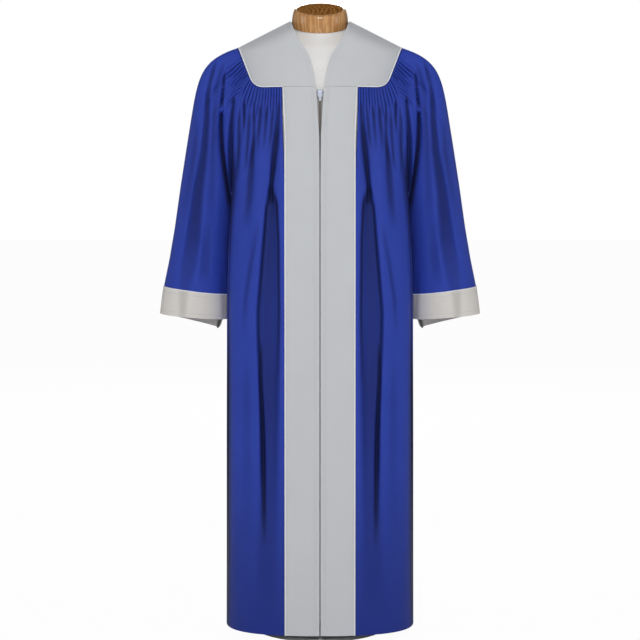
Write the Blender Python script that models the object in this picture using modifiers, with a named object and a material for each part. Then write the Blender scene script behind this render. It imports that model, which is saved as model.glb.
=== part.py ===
"""A pleated choir robe with a grey yoke, bands and cuffs, standing on a limbless dress form.

Metres, +Z up, the robe's front faces -Y and the floor is z = 0.
The robe is symmetric, so each sided piece is worked out for +X (the wearer's left) and mirrored.
"""
import math
from collections import namedtuple

import bmesh
import bpy
import numpy as np

# Cloth and seams
WALL = 0.0015
SEAM_GAP = 0.0005
SLEEVE_SEAM_GAP = 0.0009
PROBE = 0.001
MERGE = 0.00001
PLACE_SLACK = 0.00001

# Yoke, as it is seen from the front
NECK_X, NECK_Z = 0.0638, 1.3203
SHOULDER_X, SHOULDER_Z = 0.1746, 1.2654
YOKE_BOTTOM_Z = 1.1795
YOKE_CORNER_X = 0.1406
FRONT_CORNER_CUT = 0.022
BACK_CORNER_CUT = 0.030
BACK_NECK_DROP = 0.008
YOKE_CORNER_SHARE = 0.60
YOKE_COLUMNS = 9
BACK_NECK_TURN = 0.45
YOKE_DOWN = (0.0, 0.02, 0.07, 0.16, 0.30, 0.46, 0.64, 0.82, 1.0)
YOKE_BACK_DOWN = (0.0, 0.02, 0.07, 0.16, 0.30, BACK_NECK_TURN, 0.62, 0.81, 1.0)

# Bands and zip
BAND_TOP_X = 0.0787
BAND_LOW_X = 0.0768
BAND_COLUMNS = 3
OPENING_TOP_X = 0.0088
OPENING_MID_X = 0.0022
OPENING_LOW_X = 0.0010
OPENING_MID_Z = 1.075
OPENING_LOW_Z = 0.980
TAPE_TOP_Z = 1.1700
TAPE_BOTTOM_Z = 0.0600
TAPE_WIDTH = 0.0130
TAPE_THICKNESS = 0.0008
TAPE_CENTRE_GAP = 0.0003

# The yoke's neck edges, from the shoulder seam to the centre
NECK_EDGE = [np.array(p) for p in (
    (NECK_X, NECK_Z), (0.0579, 1.3037), (0.0467, 1.2799), (0.0316, 1.2576), (0.0223, 1.2409),
    (0.0167, 1.2220), (0.0120, 1.2015), (OPENING_TOP_X, YOKE_BOTTOM_Z),
)]
BACK_NECK_EDGE = [np.array(p) for p in (
    (NECK_X, NECK_Z), (0.0560, NECK_Z - 0.0040), (0.0400, NECK_Z - 0.0065), (0.0, NECK_Z - BACK_NECK_DROP),
)]

# Levels of the body
UNDERARM_X, UNDERARM_Y, UNDERARM_Z = 0.190, -0.014, 0.955
HEM_Z = 0.018

# The armhole stays this far forward (and back) on its way down, as shares of its drop
ARMHOLE_FORWARD = 0.12
ARMHOLE_SWEEP = 0.66

# Fluting: stitched pleats that stand out of the cloth under the yoke
FLUTE_HEIGHT = 0.0020
FLUTE_END = 0.25
FRONT_FLUTES = 14
SLEEVE_FLUTES_PER_SIDE = 8
BACK_FLUTES = 52
FRONT_SEAM_TO_SLEEVE = 0.54
SLEEVE_FLUTING_TOP = 0.79
BACK_SEAM_TO_SLEEVE = 0.70

# Rows of the cloth, as shares of the way from the yoke to the underarm
FLUTED_ROWS = (0.0, 0.08, 0.16, 0.25)
UPPER_ROWS = (0.40, 0.58, 0.79, 1.0)
ARMHOLE_ROWS = FLUTED_ROWS + UPPER_ROWS

Section = namedtuple("Section", "z half_width front back y_centre squareness")

# The cloth over the shoulders, bottom to top: the ridge from shoulder to neck is straight
SHOULDERS = (
    Section(1.120, 0.1560, 0.1080, 0.104, 0.000, 2.20),
    Section(1.180, 0.1610, 0.1060, 0.104, 0.000, 2.20),
    Section(1.205, 0.1665, 0.1010, 0.102, 0.000, 2.20),
    Section(1.235, 0.1725, 0.0915, 0.099, -0.002, 2.15),
    Section(SHOULDER_Z, SHOULDER_X, 0.0780, 0.093, -0.006, 2.10),
    Section(1.290, 0.1250, 0.0745, 0.089, -0.012, 2.05),
    Section(NECK_Z, NECK_X, 0.0625, 0.082, -0.018, 2.00),
    Section(1.340, 0.0240, 0.0500, 0.070, -0.018, 2.00),
)

# The hanging body of the robe, underarm to hem
BODY = (
    Section(UNDERARM_Z, UNDERARM_X, 0.1040, 0.125, UNDERARM_Y, 2.60),
    Section(0.870, 0.1960, 0.1050, 0.130, -0.018, 2.65),
    Section(0.740, 0.2005, 0.1080, 0.135, -0.020, 2.70),
    Section(0.580, 0.2020, 0.1160, 0.141, -0.020, 2.70),
    Section(0.420, 0.2030, 0.1250, 0.147, -0.020, 2.70),
    Section(0.270, 0.2035, 0.1330, 0.152, -0.020, 2.70),
    Section(0.130, 0.2040, 0.1400, 0.156, -0.020, 2.70),
    Section(HEM_Z, 0.2045, 0.1450, 0.160, -0.020, 2.70),
)

# The dress form under the robe, bottom to top, below the shoulders
TORSO = (
    Section(0.690, 0.112, 0.070, 0.066, 0.000, 2.10),
    Section(0.700, 0.128, 0.080, 0.078, 0.000, 2.10),
    Section(0.745, 0.144, 0.086, 0.088, 0.000, 2.10),
    Section(0.840, 0.148, 0.087, 0.090, 0.000, 2.10),
    Section(0.950, 0.122, 0.080, 0.080, 0.000, 2.10),
    Section(1.040, 0.136, 0.088, 0.084, -0.002, 2.15),
    Section(1.110, 0.149, 0.095, 0.090, -0.002, 2.20),
)

ROW_HEIGHTS = [row.z for row in BODY]

Ring = namedtuple("Ring", "outer_x outer_z inner_x inner_z half_depth y_centre back_drop")

# Sleeve rings, from below the underarm down to the cuff
SLEEVE = (
    Ring(0.2810, 1.1000, 0.1950, 0.925, 0.066, 0.010, 0.000),
    Ring(0.2905, 1.0450, 0.1970, 0.892, 0.065, 0.016, 0.000),
    Ring(0.3030, 0.9700, 0.1985, 0.850, 0.064, 0.022, 0.000),
    Ring(0.3170, 0.8780, 0.1990, 0.800, 0.061, 0.029, 0.004),
    Ring(0.3290, 0.8100, 0.1995, 0.765, 0.063, 0.030, 0.010),
    Ring(0.3400, 0.7510, 0.2000, 0.7370, 0.064, 0.030, 0.018),
    Ring(0.3450, 0.7200, 0.2005, 0.7080, 0.064, 0.030, 0.023),
    Ring(0.3490, 0.6915, 0.2010, 0.6800, 0.064, 0.030, 0.028),
)
CUFF_RINGS = 2
CUFF_PROUD = 0.0006
SLEEVE_HEAD_CELLS = 3
# The back edge of the cuff drops most near the body
BACK_DROP_POWER = 0.7
BACK_DROP_START = 1.6

# Cells round the sleeve: the armhole, the fluted part and the head, twice
ARMHOLE_CELLS = len(ARMHOLE_ROWS) - 1
SLEEVE_FLUTED_CELLS = SLEEVE_FLUTES_PER_SIDE // 2
SLEEVE_CELLS = 2 * (ARMHOLE_CELLS + SLEEVE_FLUTED_CELLS + SLEEVE_HEAD_CELLS)
ARMHOLE_SHARE = ARMHOLE_CELLS / SLEEVE_CELLS
FLUTED_SHARE = ARMHOLE_SHARE + SLEEVE_FLUTED_CELLS / SLEEVE_CELLS

Fold = namedtuple("Fold", "x_top z_top x_low z_low half_width depth")

# Largest folds: troughs have a positive depth, ridges a negative one
FRONT_FOLDS = (
    Fold(0.0930, 1.125, 0.1080, 0.960, 0.010, 0.006),
    Fold(0.1080, 0.985, 0.1130, 0.300, 0.026, 0.014),
    Fold(0.1500, 1.060, 0.1600, 0.880, 0.012, 0.007),
    Fold(0.1350, 1.030, 0.1420, 0.330, 0.016, -0.004),
    Fold(0.1620, 0.930, 0.1690, 0.250, 0.020, 0.004),
)
BACK_FOLDS = (
    Fold(0.0100, 1.060, 0.0060, 0.180, 0.020, 0.010),
    Fold(0.0480, 1.080, 0.0560, 0.110, 0.018, -0.006),
    Fold(0.0860, 1.100, 0.1020, 0.160, 0.022, 0.013),
    Fold(0.1300, 1.060, 0.1470, 0.200, 0.020, 0.009),
    Fold(-0.0300, 1.090, -0.0380, 0.130, 0.018, -0.006),
    Fold(-0.0680, 1.070, -0.0790, 0.190, 0.022, 0.012),
    Fold(-0.1180, 1.090, -0.1300, 0.150, 0.020, 0.010),
)
SLEEVE_FRONT_FOLDS = (
    Fold(0.2440, 1.150, 0.2780, 0.780, 0.020, 0.010),
    Fold(0.2150, 1.120, 0.2140, 0.900, 0.012, 0.006),
)
SLEEVE_BACK_FOLDS = (
    Fold(0.2360, 1.140, 0.2580, 0.760, 0.020, 0.011),
    Fold(0.2700, 1.090, 0.2980, 0.800, 0.018, 0.006),
)

# Dress form's cap, pole and base
CAP_TILT = math.radians(19)
CAP_BASE_Y, CAP_BASE_Z = -0.008, 1.312
CAP_PROFILE = (
    (0.0612, 0.0000), (0.0608, 0.0110), (0.0588, 0.0215), (0.0577, 0.0275),
    (0.0552, 0.0325), (0.0505, 0.0352), (0.0440, 0.0362),
)
NECK_RADIUS = 0.0585
NECK_LIFT = 0.0008
FORM_INSET = 0.0030
FORM_INSET_AT_ZIP = 0.0042
FORM_ZIP_TOP = 1.190
FORM_STEPS = 32
FORM_SHOULDER_ROWS = slice(1, 6)
POLE_RADIUS = 0.016
POLE_CLEARANCE = 0.0005
BOSS_TOP = 0.045
BASE_PROFILE = (
    (0.0225, BOSS_TOP), (0.0255, 0.0430), (0.0300, 0.0120), (0.0390, 0.0100),
    (0.1330, 0.0090), (0.1430, 0.0060), (0.1450, 0.0030), (0.1450, 0.0),
)
TURNED_STEPS = 40

# Zip slider and pull tab
SLIDER_Z = 1.1650
SLIDER_SIZE = (0.0110, 0.0032, 0.0150)
SLIDER_FRONT_GAP = 0.0006
SLIDER_BEVEL = 0.0008
LUG_SPACING = 0.0026
LUG_SIZE = (0.0011, 0.0034, 0.0036)
PIN_RISE = 0.0036
PIN_RADIUS = 0.0006
PIN_FORWARD = 0.0020
EYE_RADIUS = 0.0015
EYE_BORE = 0.0009
EYE_LENGTH = 0.0034
PULL_LENGTH = 0.0200
PULL_WIDTH = 0.0062
PULL_THICKNESS = 0.0012
PULL_TAPER = 0.60

Finish = namedtuple("Finish", "colour roughness metallic")
FINISHES = {
    "blue_cloth": Finish((0.030, 0.055, 0.330), 0.80, 0.0),
    "grey_cloth": Finish((0.520, 0.540, 0.560), 0.80, 0.0),
    "cuff_cloth": Finish((0.550, 0.530, 0.510), 0.80, 0.0),
    "white_jersey": Finish((0.770, 0.750, 0.720), 0.90, 0.0),
    "wood": Finish((0.480, 0.250, 0.090), 0.45, 0.0),
    "zip_tape": Finish((0.300, 0.290, 0.280), 0.80, 0.0),
    "zip_metal": Finish((0.420, 0.460, 0.640), 0.35, 0.9),
    "white_steel": Finish((0.800, 0.800, 0.790), 0.40, 0.0),
}


def clear_scene():
    for thing in list(bpy.data.objects):
        bpy.data.objects.remove(thing, do_unlink=True)


def make_finishes():
    made = {}
    for name, finish in FINISHES.items():
        material = bpy.data.materials.new(name)
        material.use_nodes = True
        shader = material.node_tree.nodes["Principled BSDF"]
        shader.inputs["Base Color"].default_value = (*finish.colour, 1.0)
        shader.inputs["Roughness"].default_value = finish.roughness
        shader.inputs["Metallic"].default_value = finish.metallic
        made[name] = material
    return made


def new_collection(name):
    collection = bpy.data.collections.new(name)
    bpy.context.scene.collection.children.link(collection)
    return collection


def unit(vector):
    return vector / np.linalg.norm(vector)


def smooth_step(value):
    value = min(max(value, 0.0), 1.0)
    return value * value * (3.0 - 2.0 * value)


def section_at(table, z):
    """The section of a table at a height, straight between its rows."""
    rows = table if table[0].z < table[-1].z else table[::-1]
    if z <= rows[0].z:
        return rows[0]._replace(z=z)
    for low, high in zip(rows, rows[1:]):
        if z <= high.z:
            share = (z - low.z) / (high.z - low.z)
            return Section(*[a + (b - a) * share for a, b in zip(low, high)])
    return rows[-1]._replace(z=z)


def section_y(section, x, facing):
    """Y of a section's front (facing -1) or back (facing 1) at a distance x from the centre."""
    depth = section.front if facing < 0 else section.back
    share = max(0.0, 1.0 - (abs(x) / section.half_width) ** section.squareness)
    return section.y_centre + facing * depth * share ** (1.0 / section.squareness)


def section_point(section, angle, facing):
    """Point of a section at an angle from straight ahead (or from straight behind)."""
    depth = section.front if facing < 0 else section.back
    power = section.squareness
    across = (math.sin(angle) / section.half_width) ** power
    along = (abs(math.cos(angle)) / depth) ** power
    reach = (across + along) ** (-1.0 / power)
    return np.array((reach * math.sin(angle), section.y_centre + facing * reach * math.cos(angle), section.z))


def hermite(start, start_pull, end, end_pull, t):
    """Cubic curve that leaves start along start_pull and reaches end along end_pull."""
    t2, t3 = t * t, t * t * t
    return ((2 * t3 - 3 * t2 + 1) * start + (t3 - 2 * t2 + t) * start_pull
            + (3 * t2 - 2 * t3) * end + (t3 - t2) * end_pull)


def shoulder_point(x, z, facing):
    return np.array((x, section_y(section_at(SHOULDERS, z), x, facing), z))


def shoulder_measure(point):
    section = section_at(SHOULDERS, point[2])
    depth = section.front if point[1] < section.y_centre else section.back
    across = (abs(point[0]) / section.half_width) ** section.squareness
    along = (abs(point[1] - section.y_centre) / depth) ** section.squareness
    return across + along


def shoulder_normal(point):
    """Outward direction of the cloth over the shoulders, from how its measure grows."""
    slope = np.zeros(3)
    for axis in range(3):
        step = np.zeros(3)
        step[axis] = PROBE
        slope[axis] = shoulder_measure(point + step) - shoulder_measure(point - step)
    return unit(slope)


def rounded_corner(cut):
    """The yoke's lower outline from x = 0 to the shoulder point, with its corner rounded."""
    side = unit(np.array((SHOULDER_X - YOKE_CORNER_X, SHOULDER_Z - YOKE_BOTTOM_Z)))
    corner = np.array((YOKE_CORNER_X, YOKE_BOTTOM_Z))
    before = corner - np.array((cut, 0.0))
    after = corner + side * cut
    steps = 12
    arc = []
    for k in range(steps + 1):
        t = k / steps
        arc.append((1 - t) ** 2 * before + 2 * t * (1 - t) * corner + t * t * after)
    return [np.array((0.0, YOKE_BOTTOM_Z))] + arc + [np.array((SHOULDER_X, SHOULDER_Z))]


def along_line(points, share):
    """Point at a share of a line's length."""
    lengths = [0.0]
    for a, b in zip(points, points[1:]):
        lengths.append(lengths[-1] + np.linalg.norm(b - a))
    place = share * lengths[-1]
    return np.array([np.interp(place, lengths, [p[k] for p in points]) for k in range(len(points[0]))])


FRONT_OUTLINE = rounded_corner(FRONT_CORNER_CUT)
FRONT_OUTLINE[0] = np.array((BAND_TOP_X + SEAM_GAP / 2, YOKE_BOTTOM_Z))
BACK_OUTLINE = rounded_corner(BACK_CORNER_CUT)


def outline_of(facing):
    return FRONT_OUTLINE if facing < 0 else BACK_OUTLINE


def seam_point(share, facing):
    """Point of the yoke's edge, from the band (or the centre back) to the shoulder point."""
    x, z = along_line(outline_of(facing), share)
    return shoulder_point(x, z, facing)


def seam_away(share, facing):
    """Direction square to the yoke's edge, along the cloth and away from the yoke."""
    low, high = max(share - 0.01, 0.0), min(share + 0.01, 1.0)
    if share > 0.985:
        low, high = 0.93, 0.97
    edge = seam_point(high, facing) - seam_point(low, facing)
    away = np.cross(shoulder_normal(seam_point(share, facing)), unit(edge))
    return unit(away) * facing


def body_start_angle(section, facing):
    """Angle at which the blue panel starts: at the band in front, at the centre behind."""
    if facing > 0:
        return 0.0
    edge = band_edge_x(section.z) + SEAM_GAP / 2
    return math.atan2(edge, section.y_centre - section_y(section, edge, facing))


def body_point(share, z, facing):
    section = section_at(BODY, z)
    start = body_start_angle(section, facing)
    point = section_point(section, start + (math.pi / 2 - start) * share, facing)
    point[1] += facing * SEAM_GAP / 2 * smooth_step(share * 8 - 7)
    return point


def band_edge_x(z):
    return np.interp(z, (HEM_Z, OPENING_MID_Z, YOKE_BOTTOM_Z), (BAND_LOW_X, BAND_LOW_X, BAND_TOP_X))


def opening_edge_x(z):
    heights = (HEM_Z, OPENING_LOW_Z, OPENING_MID_Z, YOKE_BOTTOM_Z)
    return np.interp(z, heights, (OPENING_LOW_X, OPENING_LOW_X, OPENING_MID_X, OPENING_TOP_X))


def seam_share(share, facing):
    return share * (FRONT_SEAM_TO_SLEEVE if facing < 0 else BACK_SEAM_TO_SLEEVE)


def panel_point(share, row, facing):
    """Blue panel: row 0 is the yoke seam, 1 the underarm, and then one row for each body section."""
    if row >= 1.0:
        z = np.interp(row - 1.0, range(len(ROW_HEIGHTS)), ROW_HEIGHTS)
        return body_point(share, z, facing)
    place = seam_share(share, facing)
    away = seam_away(place, facing)
    start = seam_point(place, facing) + away * SEAM_GAP
    forward = smooth_step(share * 1.5 - 0.5)
    away[1] = away[1] * (1.0 - forward) + facing * ARMHOLE_FORWARD * forward
    end = body_point(share, UNDERARM_Z, facing)
    drop = YOKE_BOTTOM_Z - UNDERARM_Z
    end_pull = np.array((0.0, 0.0, -1.0)) * drop
    end_pull[1] = facing * drop * (0.08 - ARMHOLE_SWEEP * share ** 3)
    return hermite(start, away * drop, end, end_pull, row)


def back_point(share, row):
    """Back panel over both sides, share -1 to 1."""
    point = panel_point(abs(share), row, 1)
    return point * np.array((-1.0 if share < 0 else 1.0, 1.0, 1.0))


def natural_normal(surface, share, row, share_step=0.004, row_step=0.01):
    across = surface(share + share_step, row) - surface(share - share_step, row)
    down = surface(share, row + row_step) - surface(share, row - row_step)
    return unit(np.cross(down, across))


def panel_natural(share, row, facing):
    """Outward direction of the blue panel, probed a little inside its edges."""
    share = min(max(share, 0.006), 0.992)
    row = min(max(row, 0.012), len(BODY) - 0.012)
    normal = natural_normal(lambda s, r: panel_point(s, r, facing), share, row)
    outward = panel_point(share, row, facing) * np.array((1.0, 1.0, 0.0))
    return normal if np.dot(normal, outward) > 0 else -normal


def ring_at(level):
    low = min(max(int(level), 0), len(SLEEVE) - 2)
    share = level - low
    return Ring(*[a + (b - a) * share for a, b in zip(SLEEVE[low], SLEEVE[low + 1])])


def ring_point(around, level):
    """Point of a sleeve ring: around 0 is at the body, 0.25 in front, 0.5 outside, 0.75 behind."""
    ring = ring_at(level)
    turn = 2 * math.pi * around
    inner = np.array((ring.inner_x, ring.y_centre, ring.inner_z))
    outer = np.array((ring.outer_x, ring.y_centre, ring.outer_z))
    point = (inner + outer) / 2 + (inner - outer) / 2 * math.cos(turn)
    point[1] -= ring.half_depth * math.sin(turn)
    inward = ((1.0 + math.cos(turn)) / 2) ** BACK_DROP_POWER
    point[2] -= ring.back_drop * inward * smooth_step(-math.sin(turn) * BACK_DROP_START)
    return point


def armhole_row(near):
    """Row of the panel's edge that meets a share of the sleeve's ring, so both have the same points."""
    shares = [ARMHOLE_SHARE * k / ARMHOLE_CELLS for k in range(ARMHOLE_CELLS + 1)]
    return float(np.interp(near, shares, ARMHOLE_ROWS[::-1]))


def armhole_around(row, facing):
    shares = [ARMHOLE_SHARE * k / ARMHOLE_CELLS for k in range(ARMHOLE_CELLS + 1)]
    near = float(np.interp(row, ARMHOLE_ROWS, shares[::-1]))
    return near if facing < 0 else 1.0 - near


def sleeve_place(around):
    """Where a share of the sleeve's top ring lies: armhole row, or share of the yoke's edge."""
    facing = -1 if around <= 0.5 else 1
    near = around if around <= 0.5 else 1.0 - around
    to_sleeve = FRONT_SEAM_TO_SLEEVE if facing < 0 else BACK_SEAM_TO_SLEEVE
    fluting_top = SLEEVE_FLUTING_TOP if facing < 0 else 1.0 - (1.0 - SLEEVE_FLUTING_TOP) * 0.62
    if near < ARMHOLE_SHARE - PLACE_SLACK:
        return "armhole", facing, armhole_row(near)
    share = np.interp(near, (ARMHOLE_SHARE, FLUTED_SHARE, 0.5), (to_sleeve, fluting_top, 1.0))
    return "yoke", facing, share


def sleeve_start(around):
    """Sleeve's seam point and the direction in which its cloth leaves the seam."""
    kind, facing, place = sleeve_place(around)
    if kind == "yoke":
        away = seam_away(place, facing)
        side_pull = np.array((0.95, 0.0, -0.30))
        away = unit(away * (1.0 - smooth_step(place * 3 - 2)) + side_pull * smooth_step(place * 3 - 2))
        return seam_point(place, facing), away
    at_top = unit(seam_away(seam_share(1.0, facing), facing) + np.array((0.5, 0.0, 0.0)))
    at_underarm = np.array((0.45, 0.0, -0.90))
    return panel_point(1.0, place, facing), unit(at_top * (1.0 - place) + at_underarm * place)


def sleeve_surface(around, row):
    """Sleeve: row 0 is the seam, 1 the first ring, and then one row for each ring."""
    around = around % 1.0
    if row >= 1.0:
        return ring_point(around, row - 1.0)
    start, away = sleeve_start(around)
    end = ring_point(around, 0)
    reach = np.linalg.norm(end - start)
    end_pull = ring_point(around, 0.5) - ring_point(around, 0)
    return hermite(start, away * reach * 1.35, end, unit(end_pull) * reach * 1.60, row)


def sleeve_natural(around, row):
    row = max(row, 0.02)
    row = min(row, len(SLEEVE) - 0.02)
    normal = natural_normal(sleeve_surface, around, row)
    level = max(row - 1.0, 0.0)
    centre = (ring_point(0.0, level) + ring_point(0.5, level)) / 2
    middle = sum(sleeve_surface(k / 8, row) for k in range(8)) / 8 if row < 1.0 else centre
    return normal if np.dot(normal, sleeve_surface(around, row) - middle) > 0 else -normal


def armhole_normal(place, facing):
    """Direction that the panel and the sleeve share along the armhole; straight down under the arm."""
    around = armhole_around(place, facing)
    shared = panel_natural(1.0, place, facing) + sleeve_natural(around, 0.02)
    down = np.array((0.0, 0.0, -1.0))
    weight = smooth_step(place * 5 - 4)
    return unit(unit(shared) * (1.0 - weight) + down * weight)


def panel_normal(share, row, facing):
    if row == 0.0:
        return shoulder_normal(seam_point(seam_share(share, facing), facing))
    if share >= 1.0 and row <= 1.0:
        return armhole_normal(row, facing)
    if share >= 1.0:
        return np.array((1.0, 0.0, 0.0))
    if share <= 0.0 and facing > 0:
        return unit(panel_natural(0.0, row, facing) * np.array((0.0, 1.0, 1.0)))
    return panel_natural(share, row, facing)


def sleeve_normal(around, row):
    if row > 0.0:
        return sleeve_natural(around, row)
    kind, facing, place = sleeve_place(around)
    if kind == "yoke":
        return shoulder_normal(seam_point(place, facing))
    return armhole_normal(place, facing) if place > 0 else shoulder_normal(seam_point(seam_share(1, facing), facing))


def fold_depth(folds, point):
    """How far the folds press the cloth in at a point, by where it is seen from the front."""
    total = 0.0
    for fold in folds:
        share = (fold.z_top - point[2]) / (fold.z_top - fold.z_low)
        if not 0.0 < share < 1.0:
            continue
        middle = fold.x_top + (fold.x_low - fold.x_top) * share
        away = (point[0] - middle) / fold.half_width
        fade = smooth_step(share * 5) * smooth_step((1.0 - share) * 2.5)
        total += fold.depth * fade * math.exp(-away * away)
    return total


def strip_faces(fine, coarse, splits):
    """Faces between a fine row and a coarse row, where a coarse cell holds some fine ones."""
    faces = []
    place = 0
    for cell, split in enumerate(splits):
        top = fine[place:place + split + 1]
        low, low_next = coarse[cell], coarse[cell + 1]
        half = split // 2
        if split == 1:
            faces.append((top[0], top[1], low_next, low))
        else:
            faces += [(top[k], top[k + 1], low) for k in range(half)]
            faces.append((top[half], low_next, low))
            faces += [(top[k], top[k + 1], low_next) for k in range(half, split)]
        place += split
    return faces


def fine_places(places, splits):
    """Places of the fine columns between the coarse ones."""
    fine = []
    for cell, split in enumerate(splits):
        low, high = places[cell], places[cell + 1]
        fine += [low + (high - low) * k / split for k in range(split)]
    return fine + [places[-1]]


def cloth_wall(places, splits, fluted_rows, rows, outer, closed):
    """A closed wall. outer(place, row, flute) gives a point and its outward direction.

    The fluted rows carry the fine columns, the other rows and the plain inside the coarse ones.
    """
    points = []
    faces = []
    fine = fine_places(places, splits)
    parity = []
    for split in splits:
        parity += [k % 2 for k in range(split)]
    parity.append(0)
    if closed:
        fine, parity = fine[:-1], parity[:-1]
        places = places[:-1]

    def add_row(row, row_places, flutes, depth):
        numbers = []
        for place, flute in zip(row_places, flutes):
            point, normal = outer(place, row, flute)
            points.append(point - normal * depth)
            numbers.append(len(points) - 1)
        return numbers + numbers[:1] if closed else numbers

    plain = [0] * len(places)
    outer_fine = [add_row(row, fine, parity, 0.0) for row in fluted_rows]
    outer_coarse = [add_row(row, places, plain, 0.0) for row in rows]
    inner = [add_row(row, places, plain, WALL) for row in list(fluted_rows) + list(rows)]
    ones = [1] * len(splits)
    fine_ones = [1] * sum(splits)
    for a, b in zip(outer_fine, outer_fine[1:]):
        faces += strip_faces(a, b, fine_ones)
    if outer_fine:
        faces += strip_faces(outer_fine[-1], outer_coarse[0], splits)
    for a, b in zip(outer_coarse, outer_coarse[1:]):
        faces += strip_faces(a, b, ones)
    for a, b in zip(inner, inner[1:]):
        faces += [tuple(reversed(face)) for face in strip_faces(a, b, ones)]
    outside = outer_fine + outer_coarse
    top_splits = splits if outer_fine else ones
    faces += [tuple(reversed(face)) for face in strip_faces(outside[0], inner[0], top_splits)]
    faces += strip_faces(outside[-1], inner[-1], ones)
    if not closed:
        for end in (0, -1):
            for k in range(len(outside) - 1):
                face = (outside[k][end], outside[k + 1][end], inner[k + 1][end], inner[k][end])
                faces.append(face if end == 0 else tuple(reversed(face)))
    return points, faces


def make_object(name, points, faces, material, collection, mirrored=False):
    """An object of one closed body, mirrored to -X where asked, with its faces turned outwards."""
    sign = -1.0 if mirrored else 1.0
    mesh = bpy.data.meshes.new(name)
    mesh.from_pydata([(sign * p[0], p[1], p[2]) for p in points], [], [tuple(face) for face in faces])
    shape = bmesh.new()
    shape.from_mesh(mesh)
    bmesh.ops.remove_doubles(shape, verts=shape.verts, dist=MERGE)
    bmesh.ops.triangulate(shape, faces=shape.faces)
    bmesh.ops.recalc_face_normals(shape, faces=shape.faces)
    if shape.calc_volume(signed=True) < 0:
        bmesh.ops.reverse_faces(shape, faces=shape.faces)
    shape.to_mesh(mesh)
    shape.free()
    mesh.shade_smooth()
    mesh.set_sharp_from_angle(angle=math.radians(28))
    mesh.materials.append(material)
    thing = bpy.data.objects.new(name, mesh)
    collection.objects.link(thing)
    return thing


def flute_lift(row, flute):
    if not flute:
        return 0.0
    return FLUTE_HEIGHT * (1.0 - smooth_step((row / FLUTE_END - 0.35) / 0.65) * 0.97)


def body_rows():
    return list(UPPER_ROWS) + [2.0 + k for k in range(len(BODY) - 1)]


def build_front(finish, collection, name, mirrored):
    places = [k / FRONT_FLUTES for k in range(FRONT_FLUTES + 1)]
    splits = [2] * FRONT_FLUTES

    def outer(place, row, flute):
        point = panel_point(place, row, -1)
        normal = panel_normal(place, row, -1)
        edge = smooth_step(place * 12) * smooth_step((1.0 - place) * 8)
        lift = flute_lift(row, flute) - fold_depth(FRONT_FOLDS, point) * edge
        return point + normal * lift, normal

    points, faces = cloth_wall(places, splits, FLUTED_ROWS, body_rows(), outer, False)
    return make_object(name, points, faces, finish, collection, mirrored)


def build_back(finish, collection):
    cells = BACK_FLUTES // 2
    places = [-1.0 + 2.0 * k / cells for k in range(cells + 1)]
    splits = [4] * cells

    def outer(place, row, flute):
        point = back_point(place, row)
        normal = panel_normal(abs(place), row, 1) * np.array((-1.0 if place < 0 else 1.0, 1.0, 1.0))
        edge = smooth_step((1.0 - abs(place)) * 6)
        lift = flute_lift(row, flute) - fold_depth(BACK_FOLDS, point) * edge
        return point + normal * lift, normal

    points, faces = cloth_wall(places, splits, FLUTED_ROWS, body_rows(), outer, False)
    return make_object("back", points, faces, finish, collection)


def sleeve_columns():
    half = [1] * ARMHOLE_CELLS + [4] * SLEEVE_FLUTED_CELLS + [1] * SLEEVE_HEAD_CELLS
    splits = half + half[::-1]
    return [k / SLEEVE_CELLS for k in range(SLEEVE_CELLS + 1)], splits


def sleeve_outer(place, row, flute):
    point = sleeve_surface(place, row)
    normal = sleeve_normal(place, row)
    if row == 0.0:
        kind, facing, seam = sleeve_place(place)
        away = sleeve_start(place)[1] * (SLEEVE_SEAM_GAP / SEAM_GAP)
        if kind == "armhole":
            ahead = panel_point(1.0, min(seam + 0.01, 1.0), facing) - panel_point(1.0, max(seam - 0.01, 0.0), facing)
            away = unit(np.cross(ahead, normal))
            away = away if away[0] > 0 else -away
        point = point + away * SEAM_GAP
    folds = SLEEVE_FRONT_FOLDS if place < 0.5 else SLEEVE_BACK_FOLDS
    inside = smooth_step(min(place, 1.0 - place) * 10) * smooth_step(abs(place - 0.5) * 10)
    lift = flute_lift(row, flute) - fold_depth(folds, point) * inside * smooth_step(row * 4)
    return point + normal * lift, normal


def build_sleeve(finish, collection, name, mirrored):
    places, splits = sleeve_columns()
    last = len(SLEEVE) - CUFF_RINGS
    rows = list(UPPER_ROWS[:-1]) + [1.0 + k for k in range(last - 1)] + [last - SEAM_GAP / 0.03]
    points, faces = cloth_wall(places, splits, FLUTED_ROWS, rows, sleeve_outer, True)
    return make_object(name, points, faces, finish, collection, mirrored)


def build_cuff(finish, collection, name, mirrored):
    places = sleeve_columns()[0]

    def outer(place, row, flute):
        point, normal = sleeve_outer(place, row, flute)
        return point + normal * CUFF_PROUD, normal

    first = len(SLEEVE) - CUFF_RINGS
    rows = [float(first + k) for k in range(CUFF_RINGS + 1)]
    points, faces = cloth_wall(places, [1] * SLEEVE_CELLS, [], rows, outer, True)
    return make_object(name, points, faces, finish, collection, mirrored)


def yoke_flat(u, v, facing):
    """Yoke patch as seen from the front: u from neck to outer edge, v from shoulder seam to bottom."""
    outline = outline_of(facing)
    if facing < 0:
        outline = [np.array((OPENING_TOP_X, YOKE_BOTTOM_Z))] + list(outline)
    neck, shoulder = np.array((NECK_X, NECK_Z)), np.array((SHOULDER_X, SHOULDER_Z))
    top = neck * (1 - u) + shoulder * u
    low = along_line(outline, YOKE_CORNER_SHARE * u)
    inner = along_line(NECK_EDGE, v) if facing < 0 else back_neck(v)
    side = along_line(outline, 1.0 - (1.0 - YOKE_CORNER_SHARE) * v)
    corners = (1 - u) * (1 - v) * neck + u * (1 - v) * shoulder
    corners += (1 - u) * v * along_line(outline, 0.0) + u * v * along_line(outline, YOKE_CORNER_SHARE)
    return (1 - u) * inner + u * side + (1 - v) * top + v * low - corners


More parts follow.
